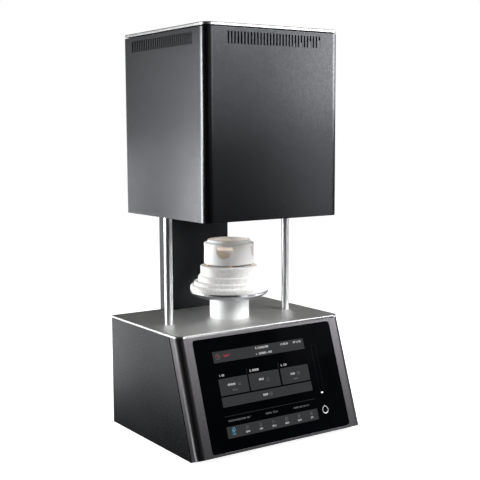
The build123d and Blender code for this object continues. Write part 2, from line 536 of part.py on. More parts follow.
pts = [(MOUTH[0][0], CZ0)]
for k, (r, z) in enumerate(MOUTH):
    pts.append((r, z))
    if k + 1 < len(MOUTH):
        pts.append((MOUTH[k + 1][0], z))
pts += [(CAN_R - CAN_T - 0.2, MOUTH[-1][1]), (CAN_R - CAN_T - 0.2, CZ0)]
save(ring_of(pts), "insulation_mouth_ring")

cw = cz(0, AX_Y, MOUTH[-1][1], CHAMBER_Z1, CAN_R - CAN_T - 0.2) - cz(0, AX_Y, MOUTH[-1][1] - 1, CHAMBER_Z1 + 1, CHAMBER_R)
save(cw, "insulation_chamber_wall")

LEGS = []
for k in range(4):
    for s in (-1, 1):
        a = radians(90 * k)
        LEGS.append((ELEM_PCR * cos(a) - s * ELEM_HALF * sin(a), AX_Y + ELEM_PCR * sin(a) + s * ELEM_HALF * cos(a), k))
ro = cz(0, AX_Y, CHAMBER_Z1, CAN_Z1, CAN_R - CAN_T - 0.2)
for x, y, k in LEGS:
    ro = ro - cz(x, y, CHAMBER_Z1 - 5, CAN_Z1 + 5, TERM_R + 0.6)
ro = ro - cz(0, AX_Y, CHAMBER_Z1 - 5, CAN_Z1 + 5, 3.6)
save(ro, "insulation_roof")

elems = []
for k in range(4):
    zb, zt = 508.0, 586.0
    path = FilletPolyline((-ELEM_HALF, 0, zt), (-ELEM_HALF, 0, zb), (ELEM_HALF, 0, zb), (ELEM_HALF, 0, zt), radius=10.8)
    u = sweep(Plane(origin=(-ELEM_HALF, 0, zt), z_dir=(0, 0, -1)) * Circle(ELEM_R), path=path)
    u = u + cz(-ELEM_HALF, 0, zt, 676.0, TERM_R) + cz(ELEM_HALF, 0, zt, 676.0, TERM_R)
    u = Pos(0, AX_Y, 0) * Rot(0, 0, 90 * k + 90) * Pos(0, -ELEM_PCR, 0) * u
    elems.append(u.solids()[0])
save(Compound(children=elems), "heating_elements")

hold = []
for k in range(4):
    h = Pos(0, AX_Y, CAN_Z1 + 6) * Rot(0, 0, 90 * k + 90) * Pos(0, -ELEM_PCR, 0) * Box(42, 20, 12)
    for x, y, kk in LEGS:
        h = h - cz(x, y, CAN_Z1 - 5, CAN_Z1 + 20, TERM_R + 0.2)
    hold.append(h.solids()[0])
save(Compound(children=hold), "element_holders")

# connecting straps between neighbouring elements, in series
straps = []


def strap(p, q):
    dx, dy = q[0] - p[0], q[1] - p[1]
    L = (dx * dx + dy * dy) ** 0.5
    from math import atan2, degrees
    a = degrees(atan2(dy, dx))
    s = Pos((p[0] + q[0]) / 2, (p[1] + q[1]) / 2, 666) * Rot(0, 0, a) * Box(L, 12.0, 3.0)
    for c in (p, q):
        s = s + cz(c[0], c[1], 660, 672, 8.5)
    for c in (p, q):
        s = s - cz(c[0], c[1], 650, 680, TERM_R + 0.03)
    return s.solids()[0]


def leg(k, s):
    a = radians(90 * k)
    return (ELEM_PCR * cos(a) - s * ELEM_HALF * sin(a), AX_Y + ELEM_PCR * sin(a) + s * ELEM_HALF * cos(a))


# element 1 (rear) holds the two supply ends
straps.append(strap(leg(1, 1), leg(2, -1)))
straps.append(strap(leg(2, 1), leg(3, -1)))
straps.append(strap(leg(3, 1), leg(0, -1)))
for p in (leg(0, 1), leg(1, -1)):
    e = cz(p[0], p[1], 660, 672, 8.5) + (Pos(p[0] + (14 if p[0] > 20 else 0), p[1] + (0 if p[0] > 20 else 14), 666) * (Box(28, 12, 3) if p[0] > 20 else Box(12, 28, 3)))
    e = e - cz(p[0], p[1], 650, 680, TERM_R + 0.03)
    straps.append(e.solids()[0])
save(Compound(children=straps), "element_straps")

tc = cz(0, AX_Y, 578.0, 668.0, 3.0) + cz(0, AX_Y, CAN_Z1, CAN_Z1 + 8, 9.0) + cz(0, AX_Y, 660, 684, 10.0) + bx(-5, 5, AX_Y - 18, AX_Y, 668, 680)
save(tc, "thermocouple")

# ================================================================ PAN-HEAD SCREWS (one kind, M4)
screws = []
for x, y in FEET:
    s = cz(x, y, 1.6, 2.2, 3.6) + cz(x, y, 2.2, 3.9, 2.0)
    screws.append(s.solids()[0])
for x in (-180, 180):
    for z in (20, 112, 205):
        s = cy(x, z, RP1, RP1 + 2.2, 3.8)
        s = fillet(s.edges().group_by(Axis.Y)[-1], 1.2)
        s = s - (bx(x - 3, x + 3, RP1 + 1.2, RP1 + 4, z - 0.5, z + 0.5) + bx(x - 0.5, x + 0.5, RP1 + 1.2, RP1 + 4, z - 3, z + 3))
        screws.append(s.solids()[0])
for x in (-124, 124):
    for z in (456, 615, 745):
        s = cy(x, z, HEAD_Y1, HEAD_Y1 + 2.2, 3.8)
        s = fillet(s.edges().group_by(Axis.Y)[-1], 1.2)
        s = s - (bx(x - 3, x + 3, HEAD_Y1 + 1.2, HEAD_Y1 + 4, z - 0.5, z + 0.5) + bx(x - 0.5, x + 0.5, HEAD_Y1 + 1.2, HEAD_Y1 + 4, z - 3, z + 3))
        screws.append(s.solids()[0])
save(Compound(children=screws), "pan_head_screws")
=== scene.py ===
import json
import math

import bmesh
import bpy
from mathutils import Matrix, Vector, noise


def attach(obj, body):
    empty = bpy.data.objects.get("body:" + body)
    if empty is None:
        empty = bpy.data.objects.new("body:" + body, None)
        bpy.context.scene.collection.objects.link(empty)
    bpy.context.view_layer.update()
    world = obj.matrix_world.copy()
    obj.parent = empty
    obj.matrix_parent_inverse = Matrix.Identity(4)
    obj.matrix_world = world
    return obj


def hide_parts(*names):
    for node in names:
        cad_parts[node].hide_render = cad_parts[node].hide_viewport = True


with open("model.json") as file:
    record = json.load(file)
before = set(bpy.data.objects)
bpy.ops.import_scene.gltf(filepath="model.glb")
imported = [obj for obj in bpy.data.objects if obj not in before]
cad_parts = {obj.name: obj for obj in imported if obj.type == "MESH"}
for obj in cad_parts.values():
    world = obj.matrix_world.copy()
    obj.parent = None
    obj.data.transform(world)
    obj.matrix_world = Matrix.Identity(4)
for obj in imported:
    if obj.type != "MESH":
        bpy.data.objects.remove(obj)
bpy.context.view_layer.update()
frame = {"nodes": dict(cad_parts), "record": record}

NODES = frame["nodes"]
scene = bpy.context.scene

MM = 0.001
AX = (0.0, 0.02016)          # lift axis in the row frame
SLOPE = math.radians(19.125)
FRONT_Y, FRONT_Z = -96.34, 226.8


# ------------------------------------------------------------------ camera
def make_camera():
    yaw, pitch, roll = (math.radians(v) for v in (34.186, 6.4905, -0.2915))
    fwd = Vector((math.sin(yaw) * math.cos(pitch), math.cos(yaw) * math.cos(pitch), -math.sin(pitch)))
    right = Vector((math.cos(yaw), -math.sin(yaw), 0.0))
    up = right.cross(fwd)
    r2 = right * math.cos(roll) + up * math.sin(roll)
    u2 = up * math.cos(roll) - right * math.sin(roll)
    data = bpy.data.cameras.new("camera")
    data.sensor_width = 36.0
    data.lens = 71.82
    data.clip_start, data.clip_end = 0.05, 60.0
    cam = bpy.data.objects.new("camera", data)
    m = Matrix((r2, u2, -fwd)).transposed().to_4x4()
    m.translation = Vector((-1.0650, -1.5877, 0.6045))
    cam.matrix_world = m
    scene.collection.objects.link(cam)
    scene.camera = cam
    return cam


make_camera()


# ------------------------------------------------------------------ node helpers
class Mat:
    """A Principled material with a few short helpers for its nodes."""

    def __init__(self, name):
        self.m = bpy.data.materials.new(name)
        self.m.use_nodes = True
        self.t = self.m.node_tree
        self.t.nodes.clear()
        out = self.node("ShaderNodeOutputMaterial")
        self.b = self.node("ShaderNodeBsdfPrincipled")
        self.t.links.new(self.b.outputs["BSDF"], out.inputs["Surface"])
        tc = self.node("ShaderNodeTexCoord")
        self.obj = tc.outputs["Object"]
        self.nrm = tc.outputs["Normal"]

    def node(self, kind, **kw):
        n = self.t.nodes.new(kind)
        for k, v in kw.items():
            setattr(n, k, v)
        return n

    def put(self, sock, v):
        if isinstance(v, bpy.types.NodeSocket):
            self.t.links.new(v, sock)
        elif sock.type == "RGBA" and len(v) == 3:
            sock.default_value = (*v, 1.0)
        else:
            sock.default_value = v

    def set(self, **kw):
        """Sets or links sockets of the shader; _ stands for a blank."""
        for k, v in kw.items():
            self.put(self.b.inputs[k.replace("_", " ")], v)

    def noise(self, scale, detail=3.0, rough=0.5, vec=None, dist=0.0):
        n = self.node("ShaderNodeTexNoise")
        self.put(n.inputs["Vector"], vec if vec is not None else self.obj)
        n.inputs["Scale"].default_value = scale
        n.inputs["Detail"].default_value = detail
        n.inputs["Roughness"].default_value = rough
        n.inputs["Distortion"].default_value = dist
        return n.outputs[0]

    def cells(self, scale, vec=None, feature="F1", rand=1.0):
        n = self.node("ShaderNodeTexVoronoi", feature=feature)
        self.put(n.inputs["Vector"], vec if vec is not None else self.obj)
        n.inputs["Scale"].default_value = scale
        n.inputs["Randomness"].default_value = rand
        return n.outputs["Distance"]

    def math(self, op, a, b=0.0, c=None, clamp=False):
        n = self.node("ShaderNodeMath", operation=op, use_clamp=clamp)
        self.put(n.inputs[0], a)
        self.put(n.inputs[1], b)
        if c is not None:
            self.put(n.inputs[2], c)
        return n.outputs[0]

    def span(self, v, a, b, c=0.0, d=1.0, smooth=False):
        n = self.node("ShaderNodeMapRange")
        n.interpolation_type = "SMOOTHSTEP" if smooth else "LINEAR"
        self.put(n.inputs["Value"], v)
        n.inputs["From Min"].default_value = a
        n.inputs["From Max"].default_value = b
        n.inputs["To Min"].default_value = c
        n.inputs["To Max"].default_value = d
        return n.outputs[0]

    def mix(self, f, a, b, blend="MIX"):
        n = self.node("ShaderNodeMix", data_type="RGBA", blend_type=blend)
        self.put(n.inputs[0], f)
        self.put(n.inputs[6], a)
        self.put(n.inputs[7], b)
        return n.outputs[2]

    def place(self, scale=(1, 1, 1), rot=(0, 0, 0), loc=(0, 0, 0), vec=None):
        n = self.node("ShaderNodeMapping")
        self.put(n.inputs["Vector"], vec if vec is not None else self.obj)
        n.inputs["Scale"].default_value = scale
        n.inputs["Rotation"].default_value = rot
        n.inputs["Location"].default_value = loc
        return n.outputs[0]

    def xyz(self, vec=None):
        n = self.node("ShaderNodeSeparateXYZ")
        self.put(n.inputs[0], vec if vec is not None else self.obj)
        return n.outputs[0], n.outputs[1], n.outputs[2]

    def bump(self, height, strength, dist, normal=None):
        n = self.node("ShaderNodeBump")
        n.inputs["Strength"].default_value = strength
        n.inputs["Distance"].default_value = dist
        self.put(n.inputs["Height"], height)
        if normal is not None:
            self.put(n.inputs["Normal"], normal)
        return n.outputs[0]

    def radius(self, cx=AX[0], cy=AX[1]):
        x, y, _ = self.xyz(self.place(loc=(-cx, -cy, 0)))
        return self.math("SQRT", self.math("ADD", self.math("MULTIPLY", x, x), self.math("MULTIPLY", y, y)))

    def soft(self, radius=0.0005):
        """Shading normal with softly rounded edges."""
        bv = self.node("ShaderNodeBevel", samples=6)
        bv.inputs["Radius"].default_value = radius
        return bv.outputs[0]

    def edges(self, radius=0.0009, lo=0.985, hi=0.9):
        """1 along convex and concave edges, 0 on flats."""
        bv = self.node("ShaderNodeBevel", samples=4)
        bv.inputs["Radius"].default_value = radius
        geo = self.node("ShaderNodeNewGeometry")
        d = self.node("ShaderNodeVectorMath", operation="DOT_PRODUCT")
        self.put(d.inputs[0], bv.outputs[0])
        self.put(d.inputs[1], geo.outputs["Normal"])
        return self.span(d.outputs["Value"], lo, hi, 0.0, 1.0)


def shade(c, k):
    return tuple(min(1.0, v * k) for v in c)


# ------------------------------------------------------------------ materials
def coat(name, base, metallic, rough, grain=0.0011, var=0.10, depth=0.00005, worn_edge_highlight=0.35, bump=0.4, round_=0.0006, peel=0.25, seam=None, wrap_shade_box=None, mottle=0.14):
    """Dark satin finish with a fine sprayed grain, a faint orange peel and brighter edges, partly wear and partly
    painted highlight.
    """
    m = Mat(name)
    fine = m.noise(1.0 / grain, 2.0, 0.6)
    mid = m.noise(0.4 / grain, 3.0, 0.6)
    cloud = m.noise(6.0, 2.0, 0.5)
    g = m.math("ADD", m.math("MULTIPLY", fine, 0.6), m.math("MULTIPLY", mid, 0.4))
    col = m.mix(m.span(g, 0.36, 0.66), shade(base, 1 - var), shade(base, 1 + var))
    col = m.mix(m.span(cloud, 0.35, 0.7, 0.0, 0.12), col, shade(base, 1.08))
    mott = m.noise(270.0, 2.0, 0.7)
    col = m.mix(m.span(mott, 0.3, 0.7, 0.0, 1.0), m.mix(mottle, col, (0, 0, 0)), m.mix(mottle, col, shade(base, 2.2)))
    # brighter edges: partly wear, partly a painted highlight along convex and concave edges
    if worn_edge_highlight:
        col = m.mix(m.math("MULTIPLY", m.edges(), worn_edge_highlight), col, shade(base, 2.0))
    painted_joint_shade = None
    if seam is not None:                     # painted shade of the gap between the front frame and the side panels, darkening the faces on both sides of it
        _, ny, _ = m.xyz(m.nrm)
        _, y, z = m.xyz(m.place(loc=(0, -FRONT_Y * MM, -FRONT_Z * MM)))
        n = m.math("ADD", m.math("MULTIPLY", y, -math.cos(SLOPE)), m.math("MULTIPLY", z, math.sin(SLOPE)))
        if seam == "side":
            # painted highlight: a bright line on the side panel just before the gap
            col = m.mix(m.span(n, -0.0328, -0.0324, 0.0, 0.7), col, shade(base, 3.2))
            # painted shade: the forward cut face of the side panel and a band next to the frame
            painted_joint_shade = m.math("MAXIMUM", m.span(ny, -0.5, -0.8), m.span(n, -0.0313, -0.0311))
        else:
            # painted shade: a band of the frame next to the gap
            painted_joint_shade = m.span(n, -0.0267, -0.0269)
        col = m.mix(painted_joint_shade, col, (0.003, 0.003, 0.003))
    if wrap_shade_box is not None:                     # painted shade: only the outside of the wrap keeps its colour, the faces within it and the slot walls are darkened
        cx, cy, hx, hy, r0 = wrap_shade_box
        x, y, _ = m.xyz(m.place(loc=(-cx, -cy, 0)))
        q = m.math("MAXIMUM", m.math("SUBTRACT", m.math("ABSOLUTE", x), hx - r0), 0.0)
        w = m.math("MAXIMUM", m.math("SUBTRACT", m.math("ABSOLUTE", y), hy - r0), 0.0)
        d = m.math("SQRT", m.math("ADD", m.math("MULTIPLY", q, q), m.math("MULTIPLY", w, w)))
        col = m.mix(m.span(d, r0 - 0.0005, r0 - 0.0009), col, shade(base, 0.10))
        # painted shade round the vent slots, a dark rim that makes their openings look wider
        x, y, z = m.xyz()
        nx, ny, _ = m.xyz(m.nrm)
        for v, nn, pitch, start, low, high, half in ((x, ny, 0.00717, 0.003585, -0.1062, 0.1062, 0.00192), (y, nx, 0.00722, 0.09274, -0.0950, 0.1334, 0.00200)):
            k = m.span(m.math("PINGPONG", m.math("ADD", v, start), pitch / 2), half, half - 0.0001)
            for f in (m.span(v, low, low + 0.0002), m.span(v, high, high - 0.0002), m.span(z, 0.7603, 0.7605), m.span(z, 0.7826, 0.7824), m.span(m.math("ABSOLUTE", nn), 0.8, 0.9)):
                k = m.math("MULTIPLY", k, f)
            col = m.mix(k, col, shade(base, 0.12))
    r = m.math("ADD", m.span(g, 0.3, 0.7, rough - 0.03, rough + 0.03), m.span(cloud, 0.3, 0.7, -0.012, 0.012))
    n = m.bump(mid, peel, 0.00006, m.soft(round_))
    m.set(Base_Color=col, Metallic=metallic, Roughness=r, Normal=m.bump(g, bump, depth, n))
    if painted_joint_shade is not None:                    # the painted shade of the gap neither shines nor reflects
        m.set(Metallic=m.math("SUBTRACT", 1.0, painted_joint_shade), Specular_IOR_Level=0.0)
    return m.m


def brushed(name, base, rough, along="X", fine=3200.0, stretch=0.02, metallic=1.0, var=0.12, bump=0.25, worn_edge_highlight=0.3, tint=None):
    """Metal with a directional grain along one axis."""
    m = Mat(name)
    s = {"X": (stretch, 1, 1), "Y": (1, stretch, 1), "Z": (1, 1, stretch)}[along]
    v = m.place(scale=s)
    a = m.noise(fine, 2.0, 0.6, v)
    b = m.noise(fine * 0.24, 3.0, 0.6, v)
    g = m.math("ADD", m.math("MULTIPLY", a, 0.6), m.math("MULTIPLY", b, 0.4))
    col = m.mix(m.span(g, 0.35, 0.65), shade(base, 1 - var), shade(base, 1 + var * 0.6))
    if tint is not None:
        col = m.mix(m.span(m.noise(14.0, 3.0), 0.4, 0.7, 0.0, 0.5), col, tint)
    # brighter edges: partly wear, partly a painted highlight
    if worn_edge_highlight:
        col = m.mix(m.math("MULTIPLY", m.edges(), worn_edge_highlight), col, shade(base, 1.8))
    m.set(Base_Color=col, Metallic=metallic, Roughness=m.span(g, 0.3, 0.7, rough - 0.06, rough + 0.07), Normal=m.bump(g, bump, 0.00002, m.soft(0.0005)))
    return m.m


def satin_plate(name, base):
    """Bead-blasted aluminium plate; its cut edges and chamfers are bright and smooth."""
    m = Mat(name)
    _, _, nz = m.xyz(m.nrm)
    flat = m.span(m.math("ABSOLUTE", nz), 0.93, 0.99, 0.0, 1.0)
    fine = m.noise(2600.0, 2.0, 0.6)
    cloud = m.noise(22.0, 4.0, 0.55)
    lines = m.noise(5200.0, 2.0, 0.6, m.place(scale=(0.015, 0.015, 1)))
    face = m.mix(m.span(fine, 0.32, 0.68), shade(base, 0.92), shade(base, 1.05))
    face = m.mix(m.span(cloud, 0.4, 0.75, 0.0, 0.2), face, shade(base, 0.93))
    cut = m.mix(m.span(lines, 0.35, 0.65), (0.58, 0.585, 0.59), (0.64, 0.64, 0.64))
    col = m.mix(flat, cut, face)
    # painted shade: faces that look downwards are dark
    col = m.mix(m.span(nz, -0.6, -0.9), col, (0.05, 0.05, 0.052))
    r_face = m.math("ADD", m.span(fine, 0.3, 0.7, 0.46, 0.56), m.span(cloud, 0.35, 0.7, -0.03, 0.03))
    r_cut = m.span(lines, 0.3, 0.7, 0.24, 0.32)
    r = m.math("ADD", m.math("MULTIPLY", flat, r_face), m.math("MULTIPLY", m.math("SUBTRACT", 1.0, flat), r_cut))
    n = m.bump(m.math("MULTIPLY", fine, flat), 0.3, 0.00003, m.soft(0.0005))
    m.set(Base_Color=col, Metallic=1.0, Roughness=r, Normal=n)
    return m.m


def polished_bar(name, base, rough, bump=0.0):
    """Round polished bar: faint wipe marks along it, fine rings if it is only ground."""
    m = Mat(name)
    rings = m.noise(900.0, 2.0, 0.6, m.place(scale=(0.01, 0.01, 1)))
    wipe = m.noise(60.0, 4.0, 0.6, m.place(scale=(1, 1, 0.12)))
    col = m.mix(m.span(rings, 0.35, 0.65), shade(base, 0.97), shade(base, 1.03))
    col = m.mix(m.span(wipe, 0.5, 0.75, 0.0, 0.12), col, shade(base, 0.9))
    r = m.math("ADD", m.span(rings, 0.3, 0.7, rough - 0.008, rough + 0.008), m.span(wipe, 0.45, 0.8, 0.0, 0.02))
    m.set(Base_Color=col, Metallic=1.0, Roughness=r)
    if bump:
        m.set(Normal=m.bump(rings, bump, 0.00001))
    return m.m


def spun(name, base, rough, cx=AX[0], cy=AX[1], scale=1500.0, bump=0.2, metallic=1.0):
    """Turned or spun metal with concentric lines about an upright axis."""
    m = Mat(name)
    rad = m.radius(cx, cy)
    comb = m.node("ShaderNodeCombineXYZ")
    _, _, z = m.xyz()
    m.put(comb.inputs[0], rad)
    m.put(comb.inputs[2], z)
    lines = m.noise(scale, 3.0, 0.65, comb.outputs[0])
    soft = m.noise(26.0, 3.0, 0.5)
    col = m.mix(m.span(lines, 0.35, 0.65), shade(base, 0.88), shade(base, 1.06))
    col = m.mix(m.span(soft, 0.42, 0.75, 0.0, 0.2), col, shade(base, 0.84))
    r = m.math("ADD", m.span(lines, 0.3, 0.7, rough - 0.03, rough + 0.05), m.span(soft, 0.4, 0.75, 0.0, 0.05))
    m.set(Base_Color=col, Metallic=metallic, Roughness=r, Normal=m.bump(lines, bump, 0.00002))
    return m.m


def fibre(name, base, soot=None):
    """Vacuum-formed ceramic fibre: matted short fibres, pinholes, faint yellowing."""
    m = Mat(name)
    warp = m.node("ShaderNodeVectorMath", operation="ADD")
    w = m.node("ShaderNodeTexNoise")
    m.put(w.inputs["Vector"], m.obj)
    w.inputs["Scale"].default_value = 260.0
    sc = m.node("ShaderNodeVectorMath", operation="SCALE")
    m.put(sc.inputs[0], w.outputs["Color"])
    sc.inputs["Scale"].default_value = 0.004
    m.put(warp.inputs[0], m.obj)
    m.put(warp.inputs[1], sc.outputs[0])
    v = warp.outputs[0]
    f1 = m.noise(620.0, 5.0, 0.72, m.place(scale=(0.3, 1, 0.6), rot=(0.4, 0.2, 0.5), vec=v))
    f2 = m.noise(620.0, 5.0, 0.72, m.place(scale=(1, 0.3, 0.7), rot=(0.1, 0.7, 1.4), vec=v))
    f3 = m.noise(430.0, 5.0, 0.72, m.place(scale=(0.8, 0.9, 0.35), rot=(0.9, 0.1, 0.2), vec=v))
    h = m.math("MULTIPLY", m.math("ADD", m.math("ADD", f1, f2), f3), 0.333)
    holes = m.span(m.cells(330.0, vec=v), 0.0, 0.16, 0.0, 1.0, True)
    cloud = m.noise(24.0, 4.0, 0.6)
    col = m.mix(m.span(h, 0.41, 0.57), shade(base, 0.80), shade(base, 1.08))
    # painted shade in the pinholes
    col = m.mix(m.span(holes, 0.0, 1.0, 0.3, 0.0), col, shade(base, 0.66))
    col = m.mix(m.span(cloud, 0.45, 0.75, 0.0, 0.18), col, soot or (base[0] * 0.98, base[1] * 0.95, base[2] * 0.91))
    n = m.bump(h, 1.0, 0.0008)
    n = m.bump(holes, 0.5, 0.0003, n)
    m.set(Base_Color=col, Roughness=m.span(h, 0.3, 0.7, 0.86, 1.0), Specular_IOR_Level=0.2, Normal=n)
    return m.m


def fired_ceramic(name, base, rough, bore_tan_painted_light=None, split=0.0466, speck=True, bump=0.35, glow_through=0.0):
    """Sintered oxide ceramic; a bore can have the tan tone of many firings, painted a little brighter than the outside
    as painted light in the shaded bore.
    """
    m = Mat(name)
    grain = m.noise(2300.0, 3.0, 0.6)
    cloud = m.noise(38.0, 4.0, 0.6)
    turn = m.noise(900.0, 2.0, 0.6, m.place(scale=(0.02, 0.02, 1)))
    col = m.mix(m.span(grain, 0.35, 0.65), shade(base, 0.95), shade(base, 1.03))
    col = m.mix(m.span(cloud, 0.4, 0.7, 0.0, 0.35), col, (base[0] * 0.965, base[1] * 0.94, base[2] * 0.9))
    # the bore: tan tone of firings, and painted light that brightens the shaded bore
    if bore_tan_painted_light is not None:
        rad = m.math("ADD", m.radius(), m.span(m.noise(120.0, 3.0), 0.3, 0.7, -0.0006, 0.0006))
        _, _, hz = m.xyz()
        low = m.span(rad, split, split - 0.0010, 0.0, 1.0, True)
        rim = m.span(rad, 0.0399, 0.0394, 0.0, 1.0, True)
        up = m.span(hz, 0.3785, 0.3805)
        ins = m.math("ADD", m.math("MULTIPLY", m.math("SUBTRACT", 1.0, up), low), m.math("MULTIPLY", up, rim))
        tone = m.mix(m.span(m.noise(60.0, 4.0, 0.6, m.place(scale=(0.5, 0.5, 1.6))), 0.35, 0.68), shade(bore_tan_painted_light, 0.92), shade(bore_tan_painted_light, 1.08))
        col = m.mix(ins, col, tone)
    if speck:
        dots = m.span(m.cells(150.0), 0.05, 0.11, 0.5, 0.0)
        col = m.mix(dots, col, (base[0] * 0.8, base[1] * 0.76, base[2] * 0.7))
    n = m.bump(m.math("ADD", grain, m.math("MULTIPLY", turn, 0.5)), bump, 0.00004)
    m.set(Base_Color=col, Roughness=m.span(grain, 0.3, 0.7, rough - 0.07, rough + 0.07), Specular_IOR_Level=0.4, Normal=n)
    if glow_through:                         # thin walls let some light through
        m.set(Subsurface_Weight=1.0, Subsurface_Radius=(1.0, 0.88, 0.76), Subsurface_Scale=glow_through)
    return m.m


def black_glass(name):
    m = Mat(name)
    film = m.noise(16.0, 4.0, 0.6)
    dust = m.noise(1400.0, 2.0, 0.5)
    col = m.mix(m.span(film, 0.35, 0.7), (0.0010, 0.0012, 0.0017), (0.0017, 0.0020, 0.0027))
    r = m.math("ADD", m.span(film, 0.35, 0.7, 0.045, 0.085), m.span(dust, 0.5, 0.8, 0.0, 0.03))
    m.set(Base_Color=col, Roughness=r, IOR=1.5, Specular_IOR_Level=0.006, Normal=m.bump(m.noise(7.0, 2.0), 0.04, 0.0004))
    return m.m


def moulded(name, base, rough, grain=0.0009, bump=0.3, metallic=0.0, gloss=0.5):
    """Moulded plastic or rubber with a fine eroded texture."""
    m = Mat(name)
    a = m.cells(1.0 / grain)
    b = m.noise(0.6 / grain, 3.0, 0.6)
    g = m.math("ADD", m.math("MULTIPLY", a, 0.5), m.math("MULTIPLY", b, 0.5))
    dust = m.noise(45.0, 5.0, 0.65)
    col = m.mix(m.span(g, 0.25, 0.6), shade(base, 0.82), shade(base, 1.2))
    col = m.mix(m.span(dust, 0.48, 0.75, 0.0, 0.3), col, shade(base, 1.7))
    m.set(Base_Color=col, Metallic=metallic, Roughness=m.span(g, 0.2, 0.7, rough - 0.07, rough + 0.07), Specular_IOR_Level=gloss, Normal=m.bump(g, bump, 0.00006))
    return m.m


def zinc(name, base=(0.5, 0.51, 0.52)):
    m = Mat(name)
    sp = m.cells(240.0)
    fine = m.noise(1900.0, 2.0, 0.6)
    col = m.mix(m.span(sp, 0.1, 0.7), shade(base, 0.85), shade(base, 1.12))
    col = m.mix(m.span(m.noise(30.0, 4.0), 0.45, 0.75, 0.0, 0.35), col, (0.56, 0.53, 0.44))
    m.set(Base_Color=col, Metallic=1.0, Roughness=m.span(fine, 0.3, 0.7, 0.26, 0.42), Normal=m.bump(fine, 0.2, 0.00002))
    return m.m


def element_rod(name):
    """Silicide heater: dark glazed U, bright sprayed ends above the roof."""
    m = Mat(name)
    _, _, z = m.xyz()
    g = m.noise(700.0, 3.0, 0.6)
    glaze = m.mix(m.span(g, 0.35, 0.65), (0.055, 0.052, 0.055), (0.13, 0.12, 0.12))
    silver = m.mix(m.span(m.noise(1800.0, 2.0), 0.35, 0.65), (0.5, 0.5, 0.5), (0.72, 0.72, 0.71))
    up = m.span(z, 0.648, 0.653)
    m.set(Base_Color=m.mix(up, glaze, silver), Metallic=m.span(z, 0.648, 0.653, 0.15, 1.0), Roughness=m.span(g, 0.3, 0.7, 0.26, 0.42), Normal=m.bump(g, 0.35, 0.0001))
    return m.m


def board(name):
    """Circuit board by height: green mask with tracks, dark parts above it."""
    m = Mat(name)
    _, _, z = m.xyz()
    tracks = m.node("ShaderNodeTexBrick")
    m.put(tracks.inputs["Vector"], m.place(scale=(160, 160, 160)))
    m.put(tracks.inputs["Color1"], (0.02, 0.13, 0.055))
    m.put(tracks.inputs["Color2"], (0.025, 0.15, 0.06))
    m.put(tracks.inputs["Mortar"], (0.12, 0.34, 0.14))
    tracks.inputs["Mortar Size"].default_value = 0.03
    parts = m.mix(m.span(m.noise(160.0, 1.0), 0.45, 0.52), (0.02, 0.02, 0.022), (0.42, 0.42, 0.4))
    m.set(Base_Color=m.mix(m.span(z, 0.0214, 0.0218), tracks.outputs[0], parts), Roughness=m.span(m.noise(400.0), 0.3, 0.7, 0.3, 0.5))
    return m.m


def winding(name):
    m = Mat(name)
    rad = m.noise(900.0, 2.0, 0.6, m.place(scale=(1, 1, 0.02)))
    col = m.mix(m.span(rad, 0.35, 0.65), (0.5, 0.34, 0.07), (0.85, 0.66, 0.2))
    m.set(Base_Color=col, Roughness=m.span(rad, 0.3, 0.7, 0.2, 0.4), Coat_Weight=0.6, Normal=m.bump(rad, 0.5, 0.0002))
    return m.m


def glow(name, base, level, tone=(1, 1, 1), grid=True, gloss=0.03, rough=0.12):
    """Lit display colour with the fine dot grid of the panel; level is its brightness."""
    m = Mat(name)
    if grid:
        w = m.node("ShaderNodeTexWave", wave_type="BANDS", bands_direction="X")
        w.inputs["Scale"].default_value = 1300.0
        m.put(w.inputs["Vector"], m.obj)
        k = m.span(w.outputs["Fac"], 0.0, 1.0, 0.88, 1.12)
    else:
        k = m.span(m.noise(420.0, 2.0), 0.3, 0.7, 0.92, 1.08)
    k = m.math("MULTIPLY", k, m.span(m.noise(11.0, 2.0), 0.3, 0.7, 0.94, 1.06))
    e = m.mix(k, (0, 0, 0), shade(tone, 1.0))
    m.set(Base_Color=m.mix(m.span(m.noise(300.0), 0.3, 0.7), shade(base, 0.9), shade(base, 1.1)), Emission_Color=e, Emission_Strength=level,
          Roughness=m.span(m.noise(16.0, 4.0, 0.6), 0.35, 0.7, rough - 0.03, rough + 0.03), Specular_IOR_Level=gloss)
    return m.m


